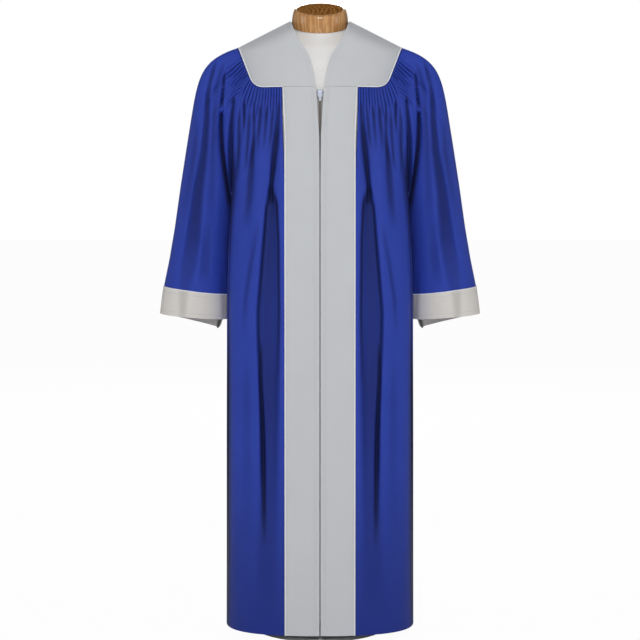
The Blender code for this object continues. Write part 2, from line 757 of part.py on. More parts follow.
def back_neck(v):
    """Inner edge of the back yoke's half: round the neck and then down the centre back."""
    if v <= BACK_NECK_TURN:
        return along_line(BACK_NECK_EDGE, v / BACK_NECK_TURN)
    down = (v - BACK_NECK_TURN) / (1.0 - BACK_NECK_TURN)
    return np.array((0.0, np.interp(down, (0.0, 1.0), (NECK_Z - BACK_NECK_DROP, YOKE_BOTTOM_Z))))


def yoke_point(u, v, facing):
    x, z = yoke_flat(u, v, facing)
    limit = section_at(SHOULDERS, z).half_width
    point = shoulder_point(min(x, limit), z, facing)
    if v == 0.0:
        point[1] += facing * SEAM_GAP / 2
    return point, shoulder_normal(point)


def build_yoke_front(finish, collection, name, mirrored):
    def outer(place, row, flute):
        return yoke_point(place, row, -1)

    places = [k / YOKE_COLUMNS for k in range(YOKE_COLUMNS + 1)]
    points, faces = cloth_wall(places, [1] * YOKE_COLUMNS, [], YOKE_DOWN, outer, False)
    return make_object(name, points, faces, finish, collection, mirrored)


def build_yoke_back(finish, collection):
    """Back yoke: two mirrored patches that share the centre-back line below the neck edge."""
    halves = [k / YOKE_COLUMNS for k in range(YOKE_COLUMNS + 1)]
    points = []
    faces = []

    def add(point):
        points.append(point)
        return len(points) - 1

    for sign in (1.0, -1.0):
        flip = np.array((sign, 1.0, 1.0))
        outside, inside = [], []
        for v in YOKE_BACK_DOWN:
            out_row, in_row = [], []
            for u in halves:
                point, normal = yoke_point(u, v, 1)
                if point[0] <= 1e-6:
                    normal = unit(normal * np.array((0.0, 1.0, 1.0)))
                    point = point * np.array((0.0, 1.0, 1.0))
                out_row.append(add(point * flip))
                in_row.append(add((point - normal * WALL) * flip))
            outside.append(out_row)
            inside.append(in_row)
        count = len(YOKE_BACK_DOWN)
        for i in range(count - 1):
            for j in range(len(halves) - 1):
                for grid in (outside, inside):
                    faces.append((grid[i][j], grid[i][j + 1], grid[i + 1][j + 1], grid[i + 1][j]))
        for j in range(len(halves) - 1):
            for i in (0, count - 1):
                faces.append((outside[i][j], outside[i][j + 1], inside[i][j + 1], inside[i][j]))
        for i in range(count - 1):
            faces.append((outside[i][-1], outside[i + 1][-1], inside[i + 1][-1], inside[i][-1]))
            if YOKE_BACK_DOWN[i + 1] <= BACK_NECK_TURN:
                faces.append((outside[i][0], outside[i + 1][0], inside[i + 1][0], inside[i][0]))
    return make_object("yoke_back", points, faces, finish, collection)


def band_surface_y(x, z):
    """Y of the robe's front at the bands, from the yoke's bottom edge to the hem."""
    if z <= UNDERARM_Z:
        return section_y(section_at(BODY, z), x, -1)
    top = shoulder_point(x, YOKE_BOTTOM_Z, -1)
    low_y = section_y(section_at(BODY, UNDERARM_Z), x, -1)
    drop = YOKE_BOTTOM_Z - UNDERARM_Z
    away = seam_away(0.01, -1)
    t = (YOKE_BOTTOM_Z - z) / drop
    return hermite(top[1], away[1] * drop, low_y, -0.08 * drop, t)


def band_heights():
    upper = [YOKE_BOTTOM_Z - SEAM_GAP]
    upper += [YOKE_BOTTOM_Z - (YOKE_BOTTOM_Z - UNDERARM_Z) * row for row in ARMHOLE_ROWS[1:]]
    return upper + [row.z for row in BODY[1:]]


def build_band(finish, collection, name, mirrored):
    heights = band_heights()

    def outer(place, row, flute):
        z = heights[int(row)]
        x = opening_edge_x(z) + (band_edge_x(z) - SEAM_GAP / 2 - opening_edge_x(z)) * place
        point = np.array((x, band_surface_y(x, z), z))
        beside = np.array((x + PROBE, band_surface_y(x + PROBE, z), z))
        above = np.array((x, band_surface_y(x, z + PROBE), z + PROBE))
        normal = unit(np.cross(beside - point, above - point))
        if row == 0:
            normal = shoulder_normal(point)
        return point, normal if normal[1] < 0 else -normal

    places = [k / BAND_COLUMNS for k in range(BAND_COLUMNS + 1)]
    points, faces = cloth_wall(places, [1] * BAND_COLUMNS, [], range(len(heights)), outer, False)
    return make_object(name, points, faces, finish, collection, mirrored)


def build_tape(finish, collection, name, mirrored):
    """Half of the zip: a flat tape behind the band, from the slider to near the hem."""
    heights = [TAPE_TOP_Z] + [z for z in band_heights() if TAPE_BOTTOM_Z < z < TAPE_TOP_Z] + [TAPE_BOTTOM_Z]
    points = []
    for z in heights:
        for x in (TAPE_CENTRE_GAP, TAPE_CENTRE_GAP + TAPE_WIDTH):
            front = band_surface_y(x, z) + WALL + SEAM_GAP
            points += [(x, front, z), (x, front + TAPE_THICKNESS, z)]
    faces = [(0, 1, 3, 2)]
    for k in range(len(heights) - 1):
        low = 4 * k
        for a, b in ((0, 1), (1, 3), (3, 2), (2, 0)):
            faces.append((low + a, low + b, low + b + 4, low + a + 4))
    last = 4 * (len(heights) - 1)
    faces.append((last, last + 2, last + 3, last + 1))
    return make_object(name, points, faces, finish, collection, mirrored)


def build_torso(finish, collection):
    """Dress form: stacked sections, inside the shoulders of the robe, up to a tilted neck."""
    sections = list(TORSO)
    for row in SHOULDERS[FORM_SHOULDER_ROWS]:
        inset = FORM_INSET_AT_ZIP if row.z < FORM_ZIP_TOP else FORM_INSET
        sections.append(Section(row.z - 1.2 * inset, row.half_width - inset, row.front - inset,
                                row.back - inset, row.y_centre, row.squareness))
    points = []
    for section in sections:
        for k in range(FORM_STEPS):
            turn = 2 * math.pi * k / FORM_STEPS
            facing = -1 if math.cos(turn) >= 0 else 1
            angle = abs(turn) if turn <= math.pi else 2 * math.pi - turn
            angle = angle if facing < 0 else math.pi - angle
            point = section_point(section, angle, facing)
            points.append(point * np.array((1.0 if turn <= math.pi else -1.0, 1.0, 1.0)))
    for k in range(FORM_STEPS):
        turn = 2 * math.pi * k / FORM_STEPS
        ahead = -NECK_RADIUS * math.cos(turn)
        y = CAP_BASE_Y + ahead * math.cos(CAP_TILT)
        z = CAP_BASE_Z - NECK_LIFT + ahead * math.sin(CAP_TILT)
        points.append(np.array((NECK_RADIUS * math.sin(turn), y, z)))
    rings = len(sections) + 1
    faces = []
    for ring in range(rings - 1):
        for k in range(FORM_STEPS):
            a = ring * FORM_STEPS + k
            b = ring * FORM_STEPS + (k + 1) % FORM_STEPS
            faces.append((a, b, b + FORM_STEPS, a + FORM_STEPS))
    faces.append(tuple(reversed(range(FORM_STEPS))))
    faces.append(tuple(range((rings - 1) * FORM_STEPS, rings * FORM_STEPS)))
    return make_object("form_torso", points, faces, finish, collection)


def turned_object(name, profile, finish, collection):
    """A solid turned round Z from a profile of (radius, height), top to bottom."""
    mesh = bpy.data.meshes.new(name)
    outline = [(0.0, profile[0][1])] + list(profile) + [(0.0, profile[-1][1])]
    mesh.from_pydata([(r, 0.0, z) for r, z in outline], [(k, k + 1) for k in range(len(outline) - 1)], [])
    mesh.materials.append(finish)
    thing = bpy.data.objects.new(name, mesh)
    collection.objects.link(thing)
    screw = thing.modifiers.new("Turn", "SCREW")
    screw.angle = 2 * math.pi
    screw.steps = TURNED_STEPS
    screw.render_steps = TURNED_STEPS
    screw.use_merge_vertices = True
    screw.merge_threshold = 0.0001
    screw.use_smooth_shade = True
    return thing


def build_stand(finishes, collection):
    cap = turned_object("form_neck_cap", list(reversed(CAP_PROFILE)), finishes["wood"], collection)
    cap.location = (0.0, CAP_BASE_Y, CAP_BASE_Z)
    cap.rotation_euler = (CAP_TILT, 0.0, 0.0)
    pole_top = TORSO[0].z - POLE_CLEARANCE
    pole = [(POLE_RADIUS, pole_top), (POLE_RADIUS, BOSS_TOP + POLE_CLEARANCE)]
    turned_object("stand_pole", pole, finishes["white_steel"], collection)
    turned_object("stand_base", BASE_PROFILE, finishes["white_steel"], collection)


def add_box(name, centre, size, collection, finish=None):
    bpy.ops.mesh.primitive_cube_add(size=1.0, location=centre)
    box = bpy.context.object
    box.name = name
    box.scale = size
    bpy.ops.object.transform_apply(location=False, rotation=False, scale=True)
    move_to(box, collection)
    if finish:
        box.data.materials.append(finish)
    return box


def add_rod(name, centre, radius, length, collection):
    """A round bar along X."""
    bpy.ops.mesh.primitive_cylinder_add(
        vertices=24, radius=radius, depth=length, location=centre, rotation=(0.0, math.pi / 2, 0.0))
    rod = bpy.context.object
    rod.name = name
    move_to(rod, collection)
    return rod


def move_to(thing, collection):
    for old in list(thing.users_collection):
        old.objects.unlink(thing)
    collection.objects.link(thing)


def as_cutter(thing):
    thing.hide_render = True
    thing.display_type = "WIRE"


def combine(target, other, operation):
    step = target.modifiers.new(operation.title(), "BOOLEAN")
    step.operation = operation
    step.solver = "EXACT"
    step.object = other


def build_zip_head(finishes, collection, cutters):
    """Slider in front of the tapes, with two lugs and a pin, and the pull tab that hangs on the pin."""
    width, depth, height = SLIDER_SIZE
    tape_front = band_surface_y(TAPE_CENTRE_GAP, SLIDER_Z) + WALL + SEAM_GAP
    back_y = tape_front - SLIDER_FRONT_GAP
    centre_y = back_y - depth / 2
    front_y = back_y - depth
    pin_z = SLIDER_Z + PIN_RISE
    pin_y = front_y - PIN_FORWARD
    slider = add_box("zip_slider", (0.0, centre_y, SLIDER_Z), SLIDER_SIZE, collection, finishes["zip_metal"])
    edges = slider.modifiers.new("Edges", "BEVEL")
    edges.width = SLIDER_BEVEL
    edges.segments = 2
    for sign in (-1, 1):
        side = "left" if sign > 0 else "right"
        lug_y = front_y - LUG_SIZE[1] / 2 + 0.0004
        lug = add_box("lug_" + side, (sign * LUG_SPACING, lug_y, pin_z), LUG_SIZE, cutters)
        as_cutter(lug)
        combine(slider, lug, "UNION")
    pin = add_rod("pin", (0.0, pin_y, pin_z), PIN_RADIUS, 2 * LUG_SPACING, cutters)
    as_cutter(pin)
    combine(slider, pin, "UNION")

    pull = add_rod("zip_pull", (0.0, pin_y, pin_z), EYE_RADIUS, EYE_LENGTH, collection)
    pull.data.materials.append(finishes["zip_metal"])
    plate_top = pin_z - EYE_RADIUS * 0.6
    plate_z = (plate_top + pin_z - PULL_LENGTH) / 2
    plate = add_box("pull_plate", (0.0, pin_y, plate_z),
                    (EYE_LENGTH, PULL_THICKNESS, plate_top - pin_z + PULL_LENGTH), cutters)
    shape_pull(plate)
    as_cutter(plate)
    combine(pull, plate, "UNION")
    bore = add_rod("pull_bore", (0.0, pin_y, pin_z), EYE_BORE, EYE_LENGTH * 1.5, cutters)
    as_cutter(bore)
    combine(pull, bore, "DIFFERENCE")


def shape_pull(plate):
    """Widens the pull below the lugs and draws it in again towards its end."""
    shape = bmesh.new()
    shape.from_mesh(plate.data)
    low = min(vertex.co.z for vertex in shape.verts)
    high = max(vertex.co.z for vertex in shape.verts)
    for share, half in ((0.74, EYE_LENGTH / 2), (0.66, PULL_WIDTH / 2), (0.06, PULL_WIDTH / 2 * PULL_TAPER)):
        level = low + (high - low) * share
        geometry = shape.verts[:] + shape.edges[:] + shape.faces[:]
        cut = bmesh.ops.bisect_plane(shape, geom=geometry, plane_co=(0, 0, level), plane_no=(0, 0, 1))
        for vertex in [item for item in cut["geom_cut"] if isinstance(item, bmesh.types.BMVert)]:
            vertex.co.x = math.copysign(half, vertex.co.x)
    for vertex in shape.verts:
        if vertex.co.z < low + 1e-6:
            vertex.co.x = math.copysign(PULL_WIDTH / 2 * PULL_TAPER * 0.6, vertex.co.x)
    shape.to_mesh(plate.data)
    shape.free()


def build_robe(finishes, collection):
    grey, blue = finishes["grey_cloth"], finishes["blue_cloth"]
    for side, mirrored in (("left", False), ("right", True)):
        build_yoke_front(grey, collection, "yoke_front_" + side, mirrored)
        build_band(grey, collection, "band_" + side, mirrored)
        build_front(blue, collection, "front_" + side, mirrored)
        build_sleeve(blue, collection, "sleeve_" + side, mirrored)
        build_cuff(finishes["cuff_cloth"], collection, "cuff_" + side, mirrored)
        build_tape(finishes["zip_tape"], collection, "zip_tape_" + side, mirrored)
    build_yoke_back(grey, collection)
    build_back(blue, collection)


def main():
    clear_scene()
    finishes = make_finishes()
    collection = new_collection("choir_robe")
    cutters = new_collection("cutters")
    build_robe(finishes, collection)
    build_torso(finishes["white_jersey"], collection)
    build_stand(finishes, collection)
    build_zip_head(finishes, collection, cutters)


main()
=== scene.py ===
# %% [markdown]
# # A fluted choir robe on a limbless dress form
#
# The real thing is a graduation-weight polyester robe: a grey yoke and front bands, a royal
# blue body that is fluted into the yoke, and open bell sleeves with grey cuffs. It hangs on a
# jersey-covered form with a turned wooden neck cap. The measured CAD frame comes first, and
# every piece of cloth is then made on the same surfaces, in metres.

# %% Load the measured frame
import math

import bmesh
import bpy
import numpy as np
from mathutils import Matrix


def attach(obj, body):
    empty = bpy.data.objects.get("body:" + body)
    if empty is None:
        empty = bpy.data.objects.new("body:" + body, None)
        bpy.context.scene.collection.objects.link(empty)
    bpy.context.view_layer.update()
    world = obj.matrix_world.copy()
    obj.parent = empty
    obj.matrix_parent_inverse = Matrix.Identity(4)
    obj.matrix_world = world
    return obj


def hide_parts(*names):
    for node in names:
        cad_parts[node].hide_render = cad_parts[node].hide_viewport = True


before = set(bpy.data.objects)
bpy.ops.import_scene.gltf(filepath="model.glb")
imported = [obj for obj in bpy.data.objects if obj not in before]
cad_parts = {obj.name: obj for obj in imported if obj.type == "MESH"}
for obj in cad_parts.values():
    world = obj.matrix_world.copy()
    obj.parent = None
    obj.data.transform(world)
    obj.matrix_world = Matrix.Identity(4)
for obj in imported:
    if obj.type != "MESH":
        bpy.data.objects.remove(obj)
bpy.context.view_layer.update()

# %% [markdown]
# ## Camera
#
# The photograph looks at the robe from straight ahead, a little below the yoke, with a long
# lens. The distance and lens below put the hem, the cuffs and the cap at the photo's places.
# A long lens is used because the two sides of the hem show almost no perspective.

# %% Place the camera
CAMERA_PLACE = (0.0, -4.2, 1.03)
CAMERA_DOWN = math.radians(4.8)
LENS_MM = 108.84

camera_data = bpy.data.cameras.new("photo_camera")
camera_data.lens = LENS_MM
camera_data.sensor_width = 36.0
camera = bpy.data.objects.new("photo_camera", camera_data)
camera.location = CAMERA_PLACE
camera.rotation_euler = (math.pi / 2 - CAMERA_DOWN, 0.0, 0.0)
bpy.context.scene.collection.objects.link(camera)
bpy.context.scene.camera = camera
print("camera at", CAMERA_PLACE, "lens", LENS_MM)

# %% [markdown]
# ## Light and floor
#
# A studio shot on white: one large soft light high in front, one behind, a softer one from
# each side, and a white surround that fills the shadows without flattening the folds. The
# camera sees the surround and the floor as white paper. Standard colour handling keeps the
# blue as vivid as the dye.

# %% Set the lights, the surround and the floor
WHITE = (1.0, 1.0, 1.0, 1.0)
AMBIENT = 0.20
# place and aim (m), width (m), power (W)
LIGHTS = {
    "key_light": ((0.0, -4.6, 3.1), (0.0, 0.0, 0.8), 1.1, 118.0),
    "left_light": ((-3.2, -1.0, 1.6), (0.0, 0.0, 0.7), 1.2, 11.0),
    "right_light": ((3.2, -1.0, 1.6), (0.0, 0.0, 0.7), 1.2, 11.0),
    "rear_light": ((0.0, 4.4, 2.8), (0.0, 0.0, 0.7), 1.2, 90.0),
}
for name, (place, aim, size, power) in LIGHTS.items():
    data = bpy.data.lights.new(name, "AREA")
    data.size = size
    data.energy = power
    light = bpy.data.objects.new(name, data)
    light.location = place
    look = np.array(aim) - np.array(place)
    rise = math.atan2(look[2], math.hypot(look[0], look[1]))
    light.rotation_euler = (math.pi / 2 + rise, 0.0, math.atan2(-look[0], look[1]))
    bpy.context.scene.collection.objects.link(light)
bpy.context.scene.view_settings.view_transform = "Standard"


def add_node(tree, kind, settings=None, **inputs):
    """A node with its properties and its unlinked input values set."""
    made = tree.nodes.new("ShaderNode" + kind)
    for key, value in (settings or {}).items():
        setattr(made, key, value)
    for key, value in inputs.items():
        made.inputs[key.replace("_", " ")].default_value = value
    return made


def wire(tree, *pairs):
    """Links each pair of an output and an input."""
    for source, target in pairs:
        tree.links.new(source, target)


def show_camera(tree, lit, seen, share, target):
    """Lights the scene with one shader and shows the camera a share of another."""
    rays = add_node(tree, "LightPath")
    part = add_node(tree, "Math", {"operation": "MULTIPLY"})
    part.inputs[1].default_value = share
    mix = add_node(tree, "MixShader")
    wire(tree, (rays.outputs["Is Camera Ray"], part.inputs[0]), (part.outputs[0], mix.inputs[0]),
         (lit, mix.inputs[1]), (seen, mix.inputs[2]), (mix.outputs[0], target))


world = bpy.data.worlds.new("studio")
bpy.context.scene.world = world
world.use_nodes = True
world.node_tree.nodes.clear()
surround = add_node(world.node_tree, "Background", Color=WHITE, Strength=AMBIENT)
backdrop = add_node(world.node_tree, "Background", Color=WHITE, Strength=1.0)
world_out = add_node(world.node_tree, "OutputWorld")
show_camera(world.node_tree, surround.outputs[0], backdrop.outputs[0], 1.0, world_out.inputs["Surface"])

bpy.ops.object.select_all(action="DESELECT")
bpy.ops.mesh.primitive_plane_add(size=40.0, location=(0.0, 0.0, 0.0))
floor = bpy.context.object
floor.name = "studio_floor"
print("lights", ", ".join(LIGHTS))

# %% [markdown]
# ## Finishes
#
# Each finish is a small tree of nodes on the Principled shader. Cloth gets a fine plain weave
# as bump, a slow drift in its dye and a little fuzz (sheen), because woven polyester is matt
# with a soft glow at its edges. The weave follows the cloth's own UV map, in metres, so that
# it runs with the cut and not through it.

# %% The helpers for finishes, and woven cloth
# The darkest painted shade, as a share of the cloth's own colour
FOLD_SHADE = 0.20
WAVE_TURNS = 0.314159


def new_finish(name, roughness, metallic=0.0, sheen=0.0, coat=0.0, specular=0.5):
    """A material with its constants on the shader's own sockets."""
    finish = bpy.data.materials.new(name)
    finish.use_nodes = True
    shader = finish.node_tree.nodes["Principled BSDF"]
    constants = {"Roughness": roughness, "Metallic": metallic, "Sheen Weight": sheen,
                 "Specular IOR Level": specular, "Coat Weight": coat}
    for socket, value in constants.items():
        shader.inputs[socket].default_value = value
    return finish, finish.node_tree, shader


def mix_colours(tree, factor, first, second):
    """Colour between two, by a factor; the Mix node's colour sockets are its seventh and eighth."""
    mix = add_node(tree, "Mix", {"data_type": "RGBA"})
    tree.links.new(factor, mix.inputs[0])
    mix.inputs[6].default_value = (*first, 1.0)
    mix.inputs[7].default_value = (*second, 1.0)
    return mix.outputs[2]


def multiply_add(tree, value, factor, added):
    """value * factor + added, where the factor is a number and the others are sockets."""
    sums = add_node(tree, "Math", {"operation": "MULTIPLY_ADD"})
    sums.inputs[1].default_value = factor
    wire(tree, (value, sums.inputs[0]), (added, sums.inputs[2]))
    return sums.outputs[0]


def add_bump(tree, shader, height, strength, depth):
    bump = add_node(tree, "Bump", Strength=strength, Distance=depth)
    wire(tree, (height, bump.inputs["Height"]), (bump.outputs["Normal"], shader.inputs["Normal"]))


def woven_finish(name, low, high, thread, depth, roughness, sheen, place_by="UV"):
    """Plain weave: threads of a given pitch in metres, a dye that drifts from low to high, and painted
    shade: a darker dye where the piece's painted_shade attribute says that the cloth lies in shade."""
    finish, tree, shader = new_finish(name, roughness, sheen=sheen, specular=0.18)
    place = add_node(tree, "TexCoord")
    drift = add_node(tree, "TexNoise", Scale=9.0, Detail=5.0, Roughness=0.62)
    colour = mix_colours(tree, drift.outputs["Fac"], low, high)
    painted_shade = add_node(tree, "Attribute", {"attribute_name": "painted_shade"})
    # Painted shade: the dye is darkened towards FOLD_SHADE of its colour by the painted_shade attribute
    painted_shade_colour = mix_colours(tree, painted_shade.outputs["Fac"], low, tuple(value * FOLD_SHADE for value in low))
    warp, weft = [add_node(tree, "TexWave", {"bands_direction": way}, Scale=WAVE_TURNS / thread,
                           Distortion=0.6, Detail_Scale=2.0) for way in "XY"]
    slub = add_node(tree, "TexNoise", Scale=420.0, Detail=3.0)
    over = add_node(tree, "Math", {"operation": "MULTIPLY"})
    wire(tree, (place.outputs["Object"], drift.inputs["Vector"]), (colour, painted_shade_colour.node.inputs[6]),
         (painted_shade_colour, shader.inputs["Base Color"]), (warp.outputs["Fac"], over.inputs[0]),
         (weft.outputs["Fac"], over.inputs[1]))
    wire(tree, *((place.outputs[place_by], wave.inputs["Vector"]) for wave in (warp, weft, slub)))
    add_bump(tree, shader, multiply_add(tree, slub.outputs["Fac"], 0.8, over.outputs[0]), 0.55, depth)
    return finish


blue_cloth = woven_finish("royal_blue_weave", (0.0225, 0.050, 0.375), (0.0320, 0.068, 0.460),
                          0.0007, 0.00020, 0.58, 0.02)
grey_cloth = woven_finish("silver_grey_weave", (0.605, 0.620, 0.648), (0.655, 0.670, 0.698),
                          0.0007, 0.00018, 0.70, 0.06)
# The cuffs' grey is a lighter, warmer copy of the grey cloth: painted light for how the light falls on the
# cuffs
cuff_cloth = woven_finish("cuff_grey_weave_painted_light", (0.735, 0.704, 0.668), (0.795, 0.764, 0.728),
                          0.0007, 0.00018, 0.70, 0.06)
# Painted highlight: the turned edges are grey cloth, given this paler colour for the light that they catch
painted_highlight_cloth = woven_finish("edge_weave_painted_highlight", (0.900, 0.905, 0.930), (0.950, 0.955, 0.970),
                          0.0005, 0.00012, 0.50, 0.10, place_by="Object")
white_jersey = woven_finish("jersey_cover", (0.880, 0.862, 0.842), (0.930, 0.915, 0.900),
                            0.0011, 0.00030, 0.85, 0.20)
zip_tape = woven_finish("zip_tape_weave", (0.330, 0.310, 0.300), (0.400, 0.380, 0.365),
                        0.0009, 0.00020, 0.75, 0.10)
print("cloth finishes:", blue_cloth.name, grey_cloth.name, cuff_cloth.name, white_jersey.name)

# %% [markdown]
# Wood needs rings and streaks that run the same way through the whole block. Rings are waves
# round the grain's axis, bent by noise. Metal and paint get fine scratches or an orange-peel
# texture as bump, so they don't look like plastic.

# %% Wood, painted floor and steel, and zip metal
FLOOR_GLOW = 0.97


def wood_finish(name, dark, light, roughness, coat, specular):
    """Turned wood: growth rings round an axis, bent by noise, with fine streaks along the grain."""
    finish, tree, shader = new_finish(name, roughness, coat=coat, specular=specular)
    place = add_node(tree, "TexCoord")
    turn = add_node(tree, "Mapping", Location=(0.05, 0.03, -1.30), Scale=(1.0, 1.0, 0.12))
    rings = add_node(tree, "TexWave", {"wave_type": "RINGS", "rings_direction": "Z"},
                     Scale=34.0, Distortion=7.0, Detail=4.0, Detail_Scale=2.6)
    streaks = add_node(tree, "TexNoise", Scale=190.0, Detail=6.0)
    blend = multiply_add(tree, streaks.outputs["Fac"], 0.6, rings.outputs["Fac"])
    wire(tree, (place.outputs["Object"], turn.inputs["Vector"]), (turn.outputs[0], rings.inputs["Vector"]),
         (turn.outputs[0], streaks.inputs["Vector"]),
         (mix_colours(tree, blend, light, dark), shader.inputs["Base Color"]))
    add_bump(tree, shader, blend, 0.25, 0.0003)
    return finish


def speckled_finish(name, low, high, roughness, scale, depth, metallic=0.0, stretch=(1.0, 1.0, 1.0)):
    """Paint or metal: noise drives a slight change of colour, of roughness and of height."""
    finish, tree, shader = new_finish(name, roughness, metallic=metallic)
    place = add_node(tree, "TexCoord")
    turn = add_node(tree, "Mapping", Scale=stretch)
    grain = add_node(tree, "TexNoise", Scale=scale, Detail=4.0)
    rough = add_node(tree, "MapRange", To_Min=roughness - 0.08, To_Max=roughness + 0.10)
    wire(tree, (place.outputs["Object"], turn.inputs["Vector"]), (turn.outputs[0], grain.inputs["Vector"]),
         (mix_colours(tree, grain.outputs["Fac"], low, high), shader.inputs["Base Color"]),
         (grain.outputs["Fac"], rough.inputs["Value"]), (rough.outputs[0], shader.inputs["Roughness"]))
    add_bump(tree, shader, grain.outputs["Fac"], 0.3, depth)
    return finish


cap_wood = wood_finish("cap_wood", (0.500, 0.235, 0.078), (0.780, 0.440, 0.180), 0.34, 0.35, 0.5)
cap_top_wood = wood_finish("cap_top_wood", (0.225, 0.090, 0.021), (0.560, 0.260, 0.068), 0.55, 0.0, 0.0)
zip_metal = speckled_finish("polished_zip_metal", (0.46, 0.50, 0.62), (0.60, 0.64, 0.76), 0.32, 900.0,
                            0.00005, metallic=0.9, stretch=(1.0, 1.0, 0.2))
zip_coil = speckled_finish("zip_coil", (0.190, 0.175, 0.165), (0.290, 0.270, 0.250), 0.45, 700.0, 0.00004)
white_steel = speckled_finish("painted_steel", (0.760, 0.760, 0.750), (0.820, 0.820, 0.810), 0.38, 260.0,
                              0.00008)
floor_finish = speckled_finish("studio_floor", (0.900, 0.900, 0.895), (0.930, 0.930, 0.925), 0.80, 6.0,
                               0.0002)
thread_grey = speckled_finish("thread_grey", (0.420, 0.430, 0.450), (0.560, 0.570, 0.590), 0.60, 1500.0,
                              0.00003)
tree = floor_finish.node_tree
glow = add_node(tree, "Emission", Color=WHITE, Strength=1.0)
show_camera(tree, tree.nodes["Principled BSDF"].outputs[0], glow.outputs[0], FLOOR_GLOW,
            tree.nodes["Material Output"].inputs["Surface"])
floor.data.materials.append(floor_finish)
print("finishes:", len(bpy.data.materials))

# %% [markdown]
# ## The shape of the robe
#
# Everything hangs from two kinds of level outline: over the shoulders, and from the underarm to
# the hem. Each outline is a rounded box with its own half width, front and back depth, middle
# and squareness. The tables are the robe's sizes in metres; +Z is up, the front faces -Y.
# Between the rows the sizes follow a smooth curve, because a straight change would leave a
# crease across the cloth.

# %% Sizes of the robe and its outlines
WALL = 0.0012
SEAM_GAP = 0.0005
NECK_X, NECK_Z = 0.0638, 1.3203
SHOULDER_X, SHOULDER_Z = 0.1746, 1.2654
YOKE_BOTTOM_Z = 1.1795
YOKE_CORNER_X = 0.1406
FRONT_CORNER_CUT, BACK_CORNER_CUT = 0.022, 0.030
BACK_NECK_DROP = 0.008
YOKE_CORNER_SHARE = 0.60
BACK_NECK_TURN = 0.45
BAND_TOP_X, BAND_LOW_X = 0.0787, 0.0742
UNDERARM_Z = 0.955
HEM_Z = 0.018
LIP_X = 0.0088
OPENING_EDGE = ((HEM_Z, 0.0019), (0.980, 0.0018), (1.075, 0.0026), (YOKE_BOTTOM_Z, LIP_X))

# height, half width, front depth, back depth, middle y, squareness
SHOULDERS = np.array((
    (1.120, 0.1560, 0.1080, 0.104, 0.000, 2.20),
    (1.180, 0.1610, 0.1060, 0.104, 0.000, 2.20),
    (1.205, 0.1665, 0.1010, 0.102, 0.000, 2.20),
    (1.235, 0.1725, 0.0915, 0.099, -0.002, 2.15),
    (SHOULDER_Z, SHOULDER_X, 0.0780, 0.093, -0.006, 2.10),
    (1.290, 0.1250, 0.0745, 0.089, -0.012, 2.05),
    (NECK_Z, NECK_X, 0.0625, 0.082, -0.018, 2.00),
    (1.340, 0.0240, 0.0500, 0.070, -0.018, 2.00),
))
BODY = np.array((
    (HEM_Z, 0.2045, 0.1450, 0.160, -0.020, 2.70),
    (0.130, 0.2040, 0.1400, 0.156, -0.020, 2.70),
    (0.270, 0.2035, 0.1330, 0.152, -0.020, 2.70),
    (0.420, 0.2030, 0.1250, 0.147, -0.020, 2.70),
    (0.580, 0.2020, 0.1160, 0.141, -0.020, 2.70),
    (0.740, 0.2005, 0.1080, 0.135, -0.020, 2.70),
    (0.870, 0.1960, 0.1050, 0.130, -0.018, 2.65),
    (UNDERARM_Z, 0.1900, 0.1040, 0.125, -0.014, 2.60),
))


def smooth_step(value):
    value = np.clip(value, 0.0, 1.0)
    return value * value * (3.0 - 2.0 * value)


def unit(vectors):
    return vectors / np.maximum(np.linalg.norm(vectors, axis=-1, keepdims=True), 1e-12)


def cubic(start, start_pull, end, end_pull, t):
    """Cubic curve that leaves start along start_pull and reaches end along end_pull."""
    t2, t3 = t * t, t * t * t
    return ((2 * t3 - 3 * t2 + 1) * start + (t3 - 2 * t2 + t) * start_pull
            + (3 * t2 - 2 * t3) * end + (t3 - t2) * end_pull)


def hermite(start, start_pull, end, end_pull, t):
    """The same curve between points."""
    return cubic(start, start_pull, end, end_pull, np.asarray(t)[..., None])


def outline_at(table, z):
    """Half width, front, back, middle and squareness of a table's outline at heights z."""
    heights = table[:, 0]
    z = np.clip(z, heights[0], heights[-1])
    low = np.clip(np.searchsorted(heights, z, side="right") - 1, 0, len(heights) - 2)
    step = heights[low + 1] - heights[low]
    t = (z - heights[low]) / step
    found = []
    for k in range(1, 6):
        values = table[:, k]
        slopes = np.gradient(values, heights)
        if k == 1 and table is SHOULDERS:
            found.append(np.interp(z, heights, values))
        else:
            found.append(cubic(values[low], slopes[low] * step, values[low + 1], slopes[low + 1] * step, t))
    return found


def reach_along(angle, half, depth, power):
    """Distance from the middle of a rounded box to its edge, in a direction."""
    sides = (np.abs(np.sin(angle)) / half) ** power + (np.abs(np.cos(angle)) / depth) ** power
    return sides ** (-1.0 / power)


def wall_y(table, x, z, facing):
    """Y of the front (facing -1) or the back (facing 1) at x and z."""
    half, front, back, middle, power = outline_at(table, z)
    depth = front if facing < 0 else back
    left = np.clip(1.0 - (np.abs(x) / half) ** power, 0.0, None)
    return middle + facing * depth * left ** (1.0 / power)


def shoulder_point(x, z, facing):
    x, z = np.broadcast_arrays(np.asarray(x, float), np.asarray(z, float))
    return np.stack((x, wall_y(SHOULDERS, x, z, facing), z), axis=-1)


def shoulder_normal(points):
    """Outward direction over the shoulders, from how the outline's measure grows."""
    def measure(p):
        half, front, back, middle, power = outline_at(SHOULDERS, p[..., 2])
        depth = np.where(p[..., 1] < middle, front, back)
        return (np.abs(p[..., 0]) / half) ** power + (np.abs(p[..., 1] - middle) / depth) ** power

    steps = np.eye(3) * 0.001
    return unit(np.stack([measure(points + step) - measure(points - step) for step in steps], axis=-1))


print("robe from", HEM_Z, "to", NECK_Z, "m, widest", 2 * BODY[:, 1].max())

# %% [markdown]
# ## The yoke's outline and the blue panel below it
#
# The yoke's lower edge runs level from the band, turns a rounded corner and climbs to the
# shoulder point. The blue cloth leaves this edge square to it, which is why its flutes fan out
# round the corner, and then falls to the underarm outline and on to the hem.

